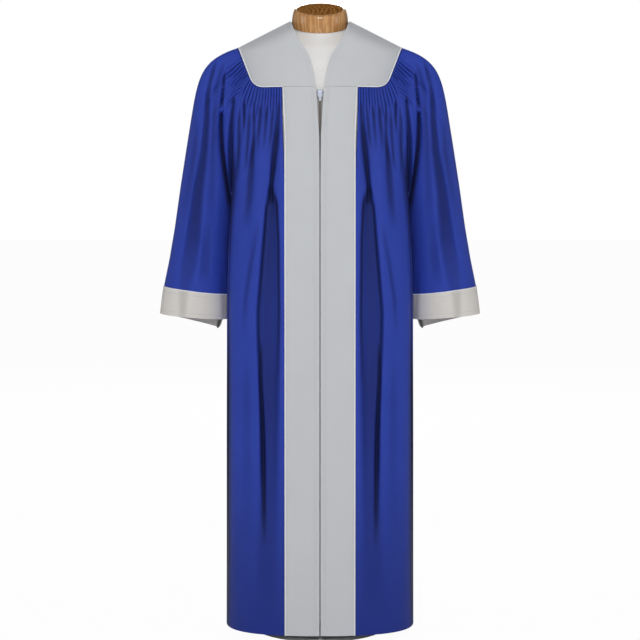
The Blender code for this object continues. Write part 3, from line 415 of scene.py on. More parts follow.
# %% Functions for the seam and the panel
def rounded_corner(cut, start_x):
    """The yoke's lower outline (x, z), with its corner rounded."""
    side = unit(np.array((SHOULDER_X - YOKE_CORNER_X, SHOULDER_Z - YOKE_BOTTOM_Z)))
    corner = np.array((YOKE_CORNER_X, YOKE_BOTTOM_Z))
    before, after = corner - np.array((cut, 0.0)), corner + side * cut
    t = np.linspace(0.0, 1.0, 25)[:, None]
    arc = (1 - t) ** 2 * before + 2 * t * (1 - t) * corner + t * t * after
    return np.vstack(((start_x, YOKE_BOTTOM_Z), arc, (SHOULDER_X, SHOULDER_Z)))


OUTLINES = {
    -1: rounded_corner(FRONT_CORNER_CUT, BAND_TOP_X + SEAM_GAP / 2),
    1: rounded_corner(BACK_CORNER_CUT, 0.0),
}
TO_SLEEVE = {-1: 0.54, 1: 0.70}
FLUTING_TOP = {-1: 0.84, 1: 0.8698}


def along(line, share):
    """Points at shares of a line's length."""
    line = np.asarray(line)
    lengths = np.concatenate(((0.0,), np.cumsum(np.linalg.norm(np.diff(line, axis=0), axis=1))))
    place = np.asarray(share) * lengths[-1]
    return np.stack([np.interp(place, lengths, line[:, k]) for k in range(line.shape[1])], axis=-1)


def seam_point(share, facing):
    flat = along(OUTLINES[facing], share)
    return shoulder_point(flat[..., 0], flat[..., 1], facing)


def seam_away(share, facing):
    """Direction square to the yoke's edge, along the cloth and away from the yoke."""
    share = np.asarray(share, float)
    low, high = np.clip(share - 0.03, 0.0, 1.0), np.clip(share + 0.03, 0.0, 1.0)
    low, high = np.where(share > 0.96, 0.93, low), np.where(share > 0.96, 0.97, high)
    edge = seam_point(high, facing) - seam_point(low, facing)
    return unit(np.cross(shoulder_normal(seam_point(share, facing)), unit(edge))) * facing


def band_edge_x(z):
    return np.interp(z, (HEM_Z, 1.075, YOKE_BOTTOM_Z), (BAND_LOW_X, BAND_LOW_X, BAND_TOP_X))


def body_point(share, z, facing):
    """Point of the hanging body; share 0 is the band (or the centre back), 1 the side seam."""
    half, front, back, middle, power = outline_at(BODY, z)
    start = 0.0
    if facing < 0:
        edge = band_edge_x(z) + SEAM_GAP / 2
        start = np.arctan2(edge, middle - wall_y(BODY, edge, z, -1))
    angle = start + (math.pi / 2 - start) * share
    reach = reach_along(angle, half, front if facing < 0 else back, power)
    y = middle + facing * (reach * np.cos(angle) + SEAM_GAP / 2 * smooth_step(share * 8 - 7))
    return np.stack(np.broadcast_arrays(reach * np.sin(angle), y, z), axis=-1)


ROW_HEIGHTS = BODY[::-1, 0]


def panel_points(shares, rows, facing):
    """Grid of the blue panel: row 0 is the yoke seam, 1 the underarm, then one for each outline."""
    share, row = np.meshgrid(shares, rows)
    heights = np.interp(np.maximum(row - 1.0, 0.0), range(len(ROW_HEIGHTS)), ROW_HEIGHTS)
    hanging = body_point(share, heights, facing)
    place = share * TO_SLEEVE[facing]
    away = seam_away(place, facing)
    start = seam_point(place, facing) + away * SEAM_GAP
    forward = smooth_step(share * 1.5 - 0.5)
    away[..., 1] = away[..., 1] * (1.0 - forward) + facing * 0.12 * forward
    drop = YOKE_BOTTOM_Z - UNDERARM_Z
    end = body_point(share, np.full_like(share, UNDERARM_Z), facing)
    end_pull = np.zeros_like(end)
    end_pull[..., 2] = -drop
    end_pull[..., 1] = facing * drop * (0.08 - 0.66 * share ** 3)
    falling = hermite(start, away * drop, end, end_pull, np.minimum(row, 1.0))
    return np.where(row[..., None] >= 1.0, hanging, falling)


print("front seam", [round(float(v), 4) for v in seam_point(0.5, -1)])

# %% [markdown]
# ## The sleeve's rings
#
# A bell sleeve is a tube that leaves the armhole and the yoke's side edge, and widens down to
# the cuff. It is set out as rings, each a tilted oval between an inner and an outer point, and
# its cloth runs in a smooth curve from the seam to the first ring.

# %% Sizes of the sleeve and its surface
# outer x and z, inner x and z, half depth, middle y, drop of the back edge
SLEEVE = np.array((
    (0.2810, 1.1000, 0.1950, 0.925, 0.066, 0.010, 0.000),
    (0.2905, 1.0450, 0.1970, 0.892, 0.065, 0.016, 0.000),
    (0.3030, 0.9700, 0.1985, 0.850, 0.064, 0.022, 0.000),
    (0.3170, 0.8780, 0.1990, 0.800, 0.061, 0.029, 0.004),
    (0.3290, 0.8100, 0.1995, 0.765, 0.063, 0.030, 0.010),
    (0.3418, 0.7490, 0.2000, 0.7320, 0.064, 0.030, 0.018),
    (0.3462, 0.7195, 0.2005, 0.7060, 0.064, 0.030, 0.023),
    (0.3497, 0.6910, 0.2010, 0.6790, 0.064, 0.030, 0.028),
))
ARMHOLE_ROWS = (0.0, 0.08, 0.16, 0.25, 0.40, 0.58, 0.79, 1.0)
ARMHOLE_SHARE = 7 / 28
FLUTED_SHARE = 11 / 28
SLEEVE_SEAM_GAP = 0.0009
CUFF_FIRST_ROW, CUFF_LAST_ROW = 6.0, 8.0
SLEEVE_LEAVE, SLEEVE_ARRIVE = 1.35, 1.60


def ring_points(around, level):
    """Sleeve ring: around 0 is at the body, 0.25 in front, 0.5 outside, 0.75 behind."""
    sizes = [np.interp(level, range(len(SLEEVE)), SLEEVE[:, k]) for k in range(7)]
    outer_x, outer_z, inner_x, inner_z, half_depth, middle, drop = sizes
    turn = 2 * math.pi * around
    x = (inner_x + outer_x) / 2 + (inner_x - outer_x) / 2 * np.cos(turn)
    z = (inner_z + outer_z) / 2 + (inner_z - outer_z) / 2 * np.cos(turn)
    z = z - drop * ((1.0 + np.cos(turn)) / 2) ** 0.7 * smooth_step(-np.sin(turn) * 1.6)
    return np.stack((x, middle - half_depth * np.sin(turn), z), axis=-1)


def sleeve_seam(around):
    """Points of the sleeve's seam and the direction in which its cloth leaves them."""
    start, away = np.zeros((len(around), 3)), np.zeros((len(around), 3))
    near = np.minimum(around, 1.0 - around)
    for facing in (-1, 1):
        mine = around <= 0.5 if facing < 0 else around > 0.5
        on_yoke = mine & (near >= ARMHOLE_SHARE - 1e-6)
        places = (TO_SLEEVE[facing], FLUTING_TOP[facing], 1.0)
        share = np.interp(near[on_yoke], (ARMHOLE_SHARE, FLUTED_SHARE, 0.5), places)
        pull = smooth_step(share * 3 - 2)[:, None]
        away[on_yoke] = unit(seam_away(share, facing) * (1.0 - pull) + np.array((0.95, 0.0, -0.30)) * pull)
        start[on_yoke] = seam_point(share, facing)
        in_hole = mine & ~on_yoke
        row = np.interp(near[in_hole], np.linspace(0.0, ARMHOLE_SHARE, 8), ARMHOLE_ROWS[::-1])
        start[in_hole] = panel_points((1.0,), row, facing)[:, 0]
        at_top = unit(seam_away(TO_SLEEVE[facing], facing) + np.array((0.5, 0.0, 0.0)))
        away[in_hole] = unit(at_top * (1.0 - row[:, None]) + np.array((0.45, 0.0, -0.90)) * row[:, None])
    return start + away * SLEEVE_SEAM_GAP, away


def sleeve_points(around, rows):
    """Grid of the sleeve: row 0 is the seam, 1 the first ring, and then one row for each ring."""
    start, away = sleeve_seam(around)
    end = ring_points(around, 0.0)
    reach = np.linalg.norm(end - start, axis=1, keepdims=True)
    pull = unit(ring_points(around, 0.5) - end) * reach * SLEEVE_ARRIVE
    grid = []
    for row in rows:
        if row < 1.0:
            grid.append(hermite(start, away * reach * SLEEVE_LEAVE, end, pull, np.full(len(around), row)))
        else:
            grid.append(ring_points(around, row - 1.0))
    return np.array(grid)


print("sleeve from z", round(float(SLEEVE[0, 1]), 3), "to", round(float(SLEEVE[-1, 3]), 3))

# %% [markdown]
# ## From a grid of points to a piece of cloth
#
# A cut piece is a sheet, so it is set out as a grid on its surface. The normals come from
# neighbouring points, flutes and folds move the points along them, and the Solidify modifier
# gives the wall its thickness inwards and closes the rim. A UV map in metres is kept from the
# grid, because it is close to the flat cut.

# %% Helpers that turn grids into cloth
TRIMS = {}
ROBE_MIDDLE = np.array((0.0, -0.02, 0.0))


def grid_normals(points, wrap=False):
    """Outward normals of a grid, from the neighbours of each point."""
    down = np.gradient(points, axis=0)
    across = np.roll(points, -1, axis=1) - np.roll(points, 1, axis=1) if wrap else np.gradient(points, axis=1)
    normals = unit(np.cross(down, across))
    middle = points.mean(axis=1, keepdims=True) if wrap else ROBE_MIDDLE + points * (0, 0, 1)
    return normals * np.sign((normals * (points - middle)).sum())


def mesh_object(name, vertices, faces, finish, uvs=None):
    mesh = bpy.data.meshes.new(name)
    mesh.from_pydata([tuple(v) for v in vertices], [], faces)
    mesh.materials.append(finish)
    if uvs is not None:
        layer = mesh.uv_layers.new(name="cut")
        layer.data.foreach_set("uv", np.asarray(uvs, np.float32).ravel())
    thing = bpy.data.objects.new(name, mesh)
    bpy.context.scene.collection.objects.link(thing)
    return thing


def select_only(thing):
    bpy.ops.object.select_all(action="DESELECT")
    thing.select_set(True)
    bpy.context.view_layer.objects.active = thing


def grid_sheet(name, points, finish, wrap=False):
    """A sheet of quads over a grid, facing outwards, with a UV map in metres."""
    rows, columns = points.shape[:2]
    last = columns if wrap else columns - 1
    i, j = np.meshgrid(np.arange(rows - 1), np.arange(last), indexing="ij")
    right = (j + 1) % columns
    top, low = i * columns, (i + 1) * columns
    corners = np.stack((top + j, low + j, low + right, top + right), -1)
    steps = np.roll(points, -1, axis=1) - points
    u = np.concatenate(((0.0,), np.cumsum(np.linalg.norm(steps, axis=2).mean(axis=0)[:last])))
    v = np.concatenate(((0.0,), np.cumsum(np.linalg.norm(np.diff(points, axis=0), axis=2).mean(axis=1))))
    uvs = np.stack((u[j], v[i], u[j], v[i + 1], u[j + 1], v[i + 1], u[j + 1], v[i]), -1).reshape(*i.shape, 4, 2)
    down, across = np.diff(points, axis=0)[:, :last], steps[:-1, :last]
    faces_way = np.cross(down, across)
    outward = grid_normals(points, wrap)[:-1, :last]
    if (faces_way * outward).sum() < 0:
        corners, uvs = corners[..., ::-1], uvs[..., ::-1, :]
    return mesh_object(name, points.reshape(-1, 3), corners.reshape(-1, 4).tolist(), finish, uvs.reshape(-1, 2))


def mark_hollows(piece, painted_shade):
    """Keeps the painted shade of each point, from 0 to 1, as an attribute."""
    layer = piece.data.attributes.new("painted_shade", "FLOAT", "POINT")
    layer.data.foreach_set("value", np.clip(painted_shade, 0.0, 1.0).astype(np.float32).ravel())


def wear(thing, slot, *nodes):
    """Lets a piece ride on the robe in the place of CAD nodes; its colour slot is not used."""
    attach(thing, "robe")
    if nodes:
        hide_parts(*nodes)


def finish_cloth(piece, slot, node, wall=WALL):
    """Gives a sheet its wall and lets it stand for its CAD node."""
    thick = piece.modifiers.new("wall", "SOLIDIFY")
    thick.thickness = wall
    thick.offset = -1.0
    select_only(piece)
    bpy.ops.object.modifier_apply(modifier=thick.name)
    bpy.ops.object.shade_smooth_by_angle(angle=math.radians(70))
    wear(piece, slot, node)
    TRIMS[piece.name] = []
    surface = sum(face.area for face in piece.data.polygons) / 2
    print(piece.name, len(piece.data.polygons), "faces, cloth", round(surface, 3), "m2")


def cloth_piece(name, points, finish, slot, node, wrap=False, wall=WALL, painted_shade=None):
    """A piece of cloth over a grid, with its painted shade in folds, seams and edges if that is given."""
    piece = grid_sheet(name, points, finish, wrap)
    if painted_shade is not None:
        mark_hollows(piece, painted_shade)
    finish_cloth(piece, slot, node, wall)


def mirror_x(points):
    return points * np.array((-1.0, 1.0, 1.0))


SIDES = (("left", lambda points: points), ("right", mirror_x))


def fold_depth(folds, points):
    """How far the folds press the cloth in, and how much painted shade they get: a narrow deep fold is darkest.

    A fold is a line of (z, x, half width, depth). Wide folds have a flat bottom and steep sides.
    """
    x, z = points[..., 0] * 1000.0, points[..., 2] * 1000.0
    total, dark = np.zeros_like(x), np.zeros_like(x)
    for fold in folds:
        table = np.array(sorted(fold), float)
        middle = np.interp(z, table[:, 0], table[:, 1])
        half = np.interp(z, table[:, 0], table[:, 2])
        depth = np.interp(z, table[:, 0], table[:, 3], left=0.0, right=0.0)
        bottom = np.interp(half, (8.0, 18.0), (2.4, 4.2))
        across = np.exp(-np.abs((x - middle) / half) ** bottom)
        total += depth * across
        # Painted shade, darkest in narrow deep folds
        dark += np.clip(1.0 - np.exp(-1.15 * depth / half), 0.0, 1.0) * across
    return total / 1000.0, np.clip(dark, 0.0, 1.0)


print("ready to make cloth, wall", WALL, "m")

# %% [markdown]
# ## Flutes
#
# Fluting is rows of tiny pleats, drawn up on threads and stitched down for the width of a hand.
# Each flute is a round rope of cloth with a narrow valley beside it. By hand no two come out
# alike, so each has its own height and length from a short table that repeats out of step.
# Where the stitching ends, the flutes run together in twos and threes and fade into soft folds.

# %% The height of the flutes and of the small folds that they run into
FLUTE_HEIGHT = 0.0031
FLUTE_END = 0.25
SEAM_SHADE = 0.018
# How dark the painted shade makes the cloth right below the seam, beside the band and towards the hem
SEAM_DARK, BAND_DARK, HEM_DARK = 0.9, 0.8, 0.42
FLUTE_LENGTHS = np.array((1.00, 1.18, 0.86, 1.10, 0.94, 1.24, 0.90, 1.04, 1.30, 0.84, 1.12))
FLUTE_HEIGHTS = np.array((1.00, 0.86, 1.06, 0.92, 1.10, 0.82, 0.98))


def flute_lift(phase, row):
    """Lift of the cloth at a place counted in flutes and at a row below the seam, and the painted shade between
    the flutes.
    """
    number = np.floor(phase).astype(int)
    inside = phase - number
    rope = np.clip(1.0 - (2.0 * inside - 1.0) ** 2, 0.0, 1.0) ** 0.62
    length = FLUTE_END * FLUTE_LENGTHS[number % len(FLUTE_LENGTHS)]
    height = FLUTE_HEIGHT * FLUTE_HEIGHTS[number % len(FLUTE_HEIGHTS)]
    stitched = smooth_step(row / 0.025) * (1.0 - smooth_step((row / length - 0.60) / 0.55))
    # The second value is painted shade in the valleys between the ropes
    return rope * height * stitched, (1.0 - rope) ** 1.2 * stitched


def gather_lift(phase, row, widths=(2.3, 4.1), heights=(0.0010, 0.0017), ends=(0.85, 2.0)):
    """Soft folds of two and of four flutes, which start as the flutes end and fade in their turn."""
    total = np.zeros_like(phase)
    for k, (width, height, end) in enumerate(zip(widths, heights, ends)):
        wave = np.sin(2 * math.pi * phase / width + 1.1 * np.sin(phase * 0.61 + k) + 0.5 * k)
        uneven = 0.65 + 0.35 * np.sin(phase * 0.37 + 2.0 * k)
        start = 0.16 + 0.12 * k
        total += height * wave * uneven * smooth_step((row - start) / 0.22) * (1.0 - smooth_step(row / end))
    return total


print("flutes", FLUTE_HEIGHT * 1000, "mm high")

# %% [markdown]
# ## The fronts
#
# Each blue front is one length of cloth from the yoke seam to the hem. The photo's main creases
# are set out one by one: a crease that starts beside the band and opens into a broad flat valley
# down the skirt, a narrower one beside it, and short creases where the flutes let go. All
# sizes in the fold tables are in millimetres: height, distance from the centre, half width and
# depth, with a minus for a ridge.

# %% Make the two fronts
FRONT_FLUTES = 14
FRONT_FOLDS = (
    ((1150, 86, 4, 0), (1125, 88, 5, 4), (1085, 91.5, 6, 6.5), (1046, 95.5, 6.5, 8), (1010, 99, 5.5, 9.5),
     (975, 102.5, 4.5, 10), (955, 104, 4.5, 9), (932, 104, 6, 0)),
    ((972, 104, 4, 0), (955, 103.5, 7, 8), (930, 102, 11, 12), (859, 103.5, 15, 14),
     (775, 106.5, 19, 14.5), (702, 109, 22, 14.5), (645, 109.5, 21, 14.5), (560, 108, 18.5, 14),
     (496, 107.5, 17.5, 13), (431, 108, 17, 11), (300, 110, 18, 6.5), (216, 112, 20, 4.5),
     (120, 115, 22, 2.5), (30, 117, 24, 0)),
    ((942, 110, 2.6, 0), (925, 113, 3, 3), (859, 118, 3.4, 3.4), (775, 125, 3.6, 3.4), (702, 131, 4, 3.4),
     (645, 130, 4, 3.4), (560, 127, 4, 3), (496, 124.5, 4, 3.2), (431, 123.5, 4.5, 2.6), (330, 124, 5, 0)),
    ((957, 97, 2.4, 0), (935, 92, 2.8, 3), (859, 88.5, 3, 3.2), (702, 87.5, 3.2, 3),
     (620, 88.5, 3.5, 1.6), (540, 90, 4, 0)),
    ((640, 124, 3, 0), (560, 126, 4, 4), (470, 122.5, 4, 6), (400, 120.5, 4.2, 6), (300, 119.5, 4.6, 4),
     (200, 119, 5, 0)),
    ((1150, 139, 2.5, 0), (1120, 140, 2.8, 4), (1085, 140.5, 3, 3), (1060, 141.5, 3.5, 5),
     (1040, 143.5, 4.5, 7), (1000, 146, 6.5, 6.5), (940, 151, 7.5, 5.5), (877, 160, 8, 0)),
    ((905, 131, 6, 0), (850, 139, 6, 2), (793, 149, 5, 2.6), (729, 159, 5, 2.2), (644, 164, 6, 0)),
    ((1152, 160, 2.2, 0), (1140, 161, 2.6, 5), (1115, 161.5, 2.8, 4), (1085, 163, 3, 0)),
    ((1135, 99, 3, 0), (1115, 100.5, 3, 2.6), (1080, 104, 3.4, 2), (1040, 109, 4, 0)),
    ((1140, 112, 2.6, 0), (1118, 113.5, 3, 3.4), (1085, 116, 3.4, 2.6), (1040, 120, 4.4, 0)),
    ((1142, 125, 2.6, 0), (1122, 127, 3, 3.6), (1090, 130, 3.6, 2.8), (1030, 134, 5, 0)),
    ((1132, 150, 2.6, 0), (1108, 151.5, 3, 3.4), (1075, 153, 3.4, 3), (1035, 156, 3.6, 3),
     (1000, 159, 4, 0)),
    ((1140, 170, 2.6, 0), (1112, 172, 3, 3.6), (1070, 173.5, 3.8, 3.6), (1020, 175, 4.6, 3),
     (975, 177, 6, 0)),
    ((1040, 124, 7, 0), (985, 130, 8, -3), (880, 138, 11, -3.6), (760, 140, 14, -3), (560, 142, 17, -2.2),
     (330, 146, 20, 0)),
    ((820, 197, 6, 0), (740, 198, 6, 3), (640, 199, 7, 4.5), (500, 200, 8, 5.5), (360, 200, 9, 5.5),
     (200, 201, 9, 4), (40, 201, 9, 0)),
    ((620, 155, 8, 0), (520, 157, 9, 2), (380, 156, 10, 1.6), (200, 158, 12, 0)),
    ((700, 90, 6, 0), (560, 91, 7, 1.2), (400, 92, 8, 1.0), (240, 93, 9, 0)),
)


# The deep valley where the sleeve hangs away from the body; it crosses the armhole seam
ARMHOLE_FOLDS = (
    ((1162, 183, 2.6, 0), (1150, 184, 3, 5), (1128, 187, 3.6, 7), (1095, 190, 4.5, 9),
     (1060, 190.5, 6, 12), (1020, 189.5, 7.5, 14), (985, 189, 8.5, 15), (950, 190, 8, 10),
     (900, 192, 6, 6), (840, 194, 5, 3), (780, 196, 5, 0)),
)


# Folds at the robe's sides: height, place from front to back, half width and depth
SIDE_FOLDS = (
    ((930, -44, 6, 0), (820, -46, 8, 5), (640, -50, 11, 7), (420, -54, 12, 6), (200, -56, 13, 3),
     (60, -58, 14, 0)),
    ((900, 34, 8, 0), (760, 38, 11, 6), (520, 44, 14, 8), (300, 48, 16, 5), (110, 50, 17, 0)),
    ((760, 82, 8, 0), (600, 86, 10, 5), (400, 92, 12, 6), (210, 96, 13, 0)),
)


def side_folds(points):
    """Presses the robe's sides in towards the middle, and gives painted shade to the folds and to the skirt's
    front side edge.
    """
    turned = points[..., (1, 0, 2)]
    depth, dark = fold_depth(SIDE_FOLDS, turned)
    aside, forward = np.abs(points[..., 0]), -points[..., 1]
    at_side = smooth_step((aside - 0.170) / 0.018)
    # Painted shade down the skirt's front side edge below the hips, where it turns away from the light
    turned_away_shade = smooth_step((aside - 0.188) / 0.007) * smooth_step((0.66 - points[..., 2]) / 0.14)
    turned_away_shade = turned_away_shade * smooth_step((forward - 0.012) / 0.030) * smooth_step((0.100 - forward) / 0.035)
    return -np.sign(points[..., 0]) * depth * at_side, dark * at_side + 0.5 * turned_away_shade


def hollow_share(dark, gathers, flute_valley_shade, row):
    """Painted shade of a point: in folds, in the gathers' valleys, between flutes and right below the seam."""
    below_seam = SEAM_DARK * (1.0 - smooth_step(row / SEAM_SHADE))
    return dark + np.clip(-gathers / 0.0040, 0.0, 0.5) + 0.95 * flute_valley_shade + below_seam


def toward_hem(points):
    """Painted shade: the cloth is made darker the nearer it hangs to the floor."""
    return HEM_DARK * smooth_step((0.46 - points[..., 2]) / 0.44)


def drape(points, row, phase, edges, folds, facing):
    """Moves a body panel by its flutes, gathers and folds, and gives its painted shade."""
    depth, dark = fold_depth(folds, points)
    aside, side_dark = side_folds(points)
    flutes, flute_valley_shade = flute_lift(phase, row)
    gathers = gather_lift(phase, row) * edges
    made = points + grid_normals(points) * (flutes + gathers)[..., None]
    made[..., 1] -= facing * depth * edges
    made[..., 0] += aside
    return made, hollow_share(dark * edges + side_dark + toward_hem(points), gathers, flute_valley_shade, row)


def front_grid():
    shares = np.linspace(0.0, 1.0, FRONT_FLUTES * 10 + 1)
    rows = np.concatenate((np.linspace(0.0, 0.32, 30), np.linspace(0.36, 1.0, 20), np.linspace(1.1, 8.0, 70)))
    points = panel_points(shares, rows, -1)
    share, row = np.meshgrid(shares, rows)
    edges = smooth_step(share * 12) * smooth_step((1.0 - share) * 10)
    made, painted_shade = drape(points, row, share * FRONT_FLUTES, edges, FRONT_FOLDS, -1)
    seam, seam_dark = fold_depth(ARMHOLE_FOLDS, points)
    made[..., 1] += seam
    # Painted shade along the band's edge, added to the armhole valley's painted shade
    beside_band = BAND_DARK * (1.0 - smooth_step(share / 0.014))
    return made, painted_shade + seam_dark + beside_band


front, front_painted_shade = front_grid()
for side, turned in SIDES:
    cloth_piece("front_cloth_" + side, turned(front), blue_cloth, "blue_cloth", "front_" + side,
                painted_shade=front_painted_shade)

# %% [markdown]
# ## The back
#
# The back is the same cloth in one wider piece, fluted into the back yoke from sleeve to
# sleeve. Its long folds are the photo's kind of folds, but set unevenly, because the two
# halves of a hanging back are never a mirror image.

# %% Make the back
BACK_FLUTES = 52
BACK_FOLDS = (
    ((1110, 4, 5, 0), (1040, 7, 8, 5), (940, 9, 13, 9), (760, 8, 18, 11), (520, 5, 20, 10),
     (250, 4, 22, 5), (70, 4, 22, 0)),
    ((1120, 44, 5, 0), (1030, 48, 7, 5), (930, 52, 10, 6), (800, 55, 12, 5), (640, 57, 13, 0)),
    ((1080, 84, 6, 0), (1000, 88, 10, 7), (860, 94, 17, 12), (640, 99, 20, 13), (400, 102, 21, 10),
     (160, 104, 22, 0)),
    ((1060, 128, 6, 0), (980, 132, 9, 6), (820, 138, 14, 9), (560, 144, 17, 8), (300, 148, 18, 0)),
    ((1120, -28, 4, 0), (1050, -30, 6, 4), (960, -33, 8, 5), (860, -36, 9, 0)),
    ((1090, -62, 6, 0), (1010, -66, 10, 8), (880, -71, 16, 12), (660, -75, 19, 13), (380, -79, 21, 8),
     (150, -80, 22, 0)),
    ((1070, -112, 5, 0), (990, -117, 9, 7), (850, -123, 14, 10), (620, -128, 17, 9), (340, -131, 18, 0)),
    ((1100, -148, 5, 0), (1020, -153, 7, 5), (920, -158, 9, 5), (820, -161, 10, 0)),
    ((700, 30, 8, 0), (560, 32, 10, -3), (380, 33, 12, -3), (180, 34, 14, 0)),
    ((640, -38, 8, 0), (500, -40, 10, 3), (340, -41, 11, 3), (160, -42, 12, 0)),
    ((1128, 66, 4, 0), (1080, 68, 5, 3), (1000, 72, 6, 0)),
    ((1126, -88, 4, 0), (1075, -91, 5, 3.4), (990, -95, 6, 0)),
    ((1130, 22, 3.5, 0), (1085, 23, 4, 2.6), (1020, 25, 5, 0)),
    ((1120, 150, 5, 0), (1040, 156, 7, 5), (940, 162, 9, 5), (830, 166, 10, 0)),
)


def back_grid():
    shares = np.linspace(-1.0, 1.0, BACK_FLUTES * 7 + 1)
    rows = np.concatenate((np.linspace(0.0, 0.32, 26), np.linspace(0.37, 1.0, 15), np.linspace(1.15, 8.0, 58)))
    points = panel_points(np.abs(shares), rows, 1)
    points[..., 0] *= np.where(shares < 0, -1.0, 1.0)
    share, row = np.meshgrid(shares, rows)
    edges = smooth_step((1.0 - np.abs(share)) * 14)
    return drape(points, row, (share + 1.0) / 2 * BACK_FLUTES, edges, BACK_FOLDS, 1)


back_points, back_painted_shade = back_grid()
cloth_piece("back_cloth", back_points, blue_cloth, "blue_cloth", "back",
            painted_shade=back_painted_shade)

# %% [markdown]
# ## The sleeves and their cuffs
#
# The sleeve is one tube. Its front and back are fluted beside the yoke, with a plain head at
# the shoulder, and a long valley opens down its middle where it hangs from the shoulder point.
# The cuff is a separate band, turned back over the sleeve's end and stitched along its top.

# %% Make the sleeves and the cuffs
SLEEVE_FLUTES = 7
SLEEVE_FLUTE_REACH, ARMHOLE_FLUTE_REACH = 1.05, 0.66
ARMHOLE_FLUTES = 5
HOLE_FLUTED_SHARE = 0.143
# How far the sleeve's inner edge lies behind the body's, and the cuff's back corner is pulled out
TUCKED_IN, CORNER_PULL = 0.0045, 0.014
CORNER_START, CORNER_WIDTH = 0.84, 0.08
CUFF_RISE, CUFF_WALL = 0.0010, 0.0016
SLEEVE_FRONT_FOLDS = (
    ((1252, 220, 2, 0), (1238, 224, 3, 4), (1209, 231, 3.6, 4.5), (1188, 236, 3.6, 3.2),
     (1165, 240, 4.4, 5), (1110, 242, 6, 7.5), (1046, 247, 8, 9.5), (961, 262, 11, 12),
     (900, 269, 13, 12.5), (856, 274, 15, 11.5), (800, 284, 17, 8), (765, 290, 15, 4.6),
     (735, 295, 11, 3), (705, 297, 9, 2.4), (670, 298, 9, 2.2)),
    ((1214, 203, 2.2, 0), (1200, 206, 2.6, 4), (1167, 209, 2.8, 7), (1125, 211.5, 3, 9),
     (1080, 211.5, 3.2, 10), (1046, 210, 3.4, 10.5), (1000, 205, 3.6, 10.5), (960, 199, 3.8, 9),
     (914, 195.5, 4, 0)),
    ((1236, 205, 3, 0), (1215, 212, 4, 1.8), (1180, 221, 5, 2.2), (1140, 226, 6, 0)),
    ((1160, 222, 4, 0), (1120, 225, 5, 2.4), (1040, 228, 7, 3), (940, 232, 9, 2.4), (850, 236, 10, 0)),
    ((1120, 262, 5, 0), (1040, 270, 6, 2.6), (960, 284, 8, 2.2), (880, 297, 9, 0)),
    ((900, 240, 8, 0), (840, 244, 10, 3), (790, 247, 11, 3), (745, 249, 12, 0)),
    ((790, 212, 4, 0), (745, 211, 5, 1.6), (710, 210, 5, 2), (670, 209, 5, 2)),
)
SLEEVE_BACK_FOLDS = (
    ((1190, 232, 4, 0), (1140, 236, 6, 6), (1050, 242, 9, 10), (940, 250, 13, 12), (840, 256, 15, 9),
     (750, 260, 17, 0)),
    ((1110, 268, 5, 0), (1040, 274, 7, 5), (950, 286, 10, 6), (850, 298, 12, 4), (780, 304, 12, 0)),
    ((1150, 206, 4, 0), (1080, 206, 5, 6), (1000, 207, 6, 6), (920, 208, 7, 0)),
)


def sleeve_phase(around):
    """Place of the sleeve's columns counted in flutes, where the fluting is, and its fade at its ends."""
    near = np.minimum(around, 1.0 - around)
    on_yoke = (near - ARMHOLE_SHARE) / (FLUTED_SHARE - ARMHOLE_SHARE) * SLEEVE_FLUTES
    in_hole = (near - ARMHOLE_SHARE) / (ARMHOLE_SHARE - HOLE_FLUTED_SHARE) * ARMHOLE_FLUTES
    phase = np.where(near < ARMHOLE_SHARE, in_hole, on_yoke)
    has_flutes = (phase > -ARMHOLE_FLUTES) & (phase < SLEEVE_FLUTES)
    fade = smooth_step((phase + ARMHOLE_FLUTES) / 2) * smooth_step((SLEEVE_FLUTES - phase) / 2)
    return np.clip(phase, -ARMHOLE_FLUTES, SLEEVE_FLUTES - 1e-6) + ARMHOLE_FLUTES, has_flutes, fade


def sleeve_grid(rows):
    fluted = np.linspace(ARMHOLE_SHARE, FLUTED_SHARE, SLEEVE_FLUTES * 10 + 1)
    hole = np.linspace(HOLE_FLUTED_SHARE, ARMHOLE_SHARE, ARMHOLE_FLUTES * 8 + 1)
    below, head = np.linspace(0.0, HOLE_FLUTED_SHARE, 18), np.linspace(FLUTED_SHARE, 0.5, 15)
    half = np.concatenate((below[:-1], hole[:-1], fluted, head[1:]))
    around = np.concatenate((half, 1.0 - half[-2:0:-1]))
    points = sleeve_points(around, rows)
    place, row = np.meshgrid(around, rows)
    phase, has_flutes, fade = sleeve_phase(place)
    facing = np.where(place < 0.5, 1.0, -1.0)
    near = np.minimum(place, 1.0 - place)
    sides = smooth_step(near * 14) * smooth_step(np.abs(place - 0.5) * 12)
    in_front, behind = fold_depth(SLEEVE_FRONT_FOLDS, points), fold_depth(SLEEVE_BACK_FOLDS, points)
    window = sides * smooth_step(row * 4)
    folds, dark = [np.where(place < 0.5, ahead, back) * window for ahead, back in zip(in_front, behind)]
    seam, seam_dark = [np.where(place < 0.5, value, 0.0) for value in fold_depth(ARMHOLE_FOLDS, points)]
    reach = np.where(phase < ARMHOLE_FLUTES, ARMHOLE_FLUTE_REACH, SLEEVE_FLUTE_REACH)
    flutes, flute_valley_shade = flute_lift(phase, row / reach)
    gathers = gather_lift(phase, row, heights=(0.0009, 0.0016), ends=(0.7, 1.2)) * fade
    made = points + grid_normals(points, wrap=True) * (flutes * has_flutes + gathers)[..., None]
    made[..., 1] += folds * facing + seam
    beside_body = smooth_step(1.0 - near * 9) * smooth_step((row - 0.12) * 3) * smooth_step((3.6 - row) / 1.4)
    made[..., 0] -= TUCKED_IN * beside_body
    in_cuff = smooth_step((row - CUFF_FIRST_ROW) / (CUFF_LAST_ROW - CUFF_FIRST_ROW))
    inner_corner = smooth_step((place - CORNER_START) / CORNER_WIDTH) * in_cuff
    made[..., 0] += CORNER_PULL * inner_corner * smooth_step((1.0 - place) * 40)
    # Painted shade on the cuff's back part beside the body, where its inside shows
    dark = dark + 1.1 * inner_corner
    seam_row = np.where(near > ARMHOLE_SHARE, row, 1.0)
    return made, hollow_share(dark + seam_dark, gathers, flute_valley_shade * has_flutes, seam_row)


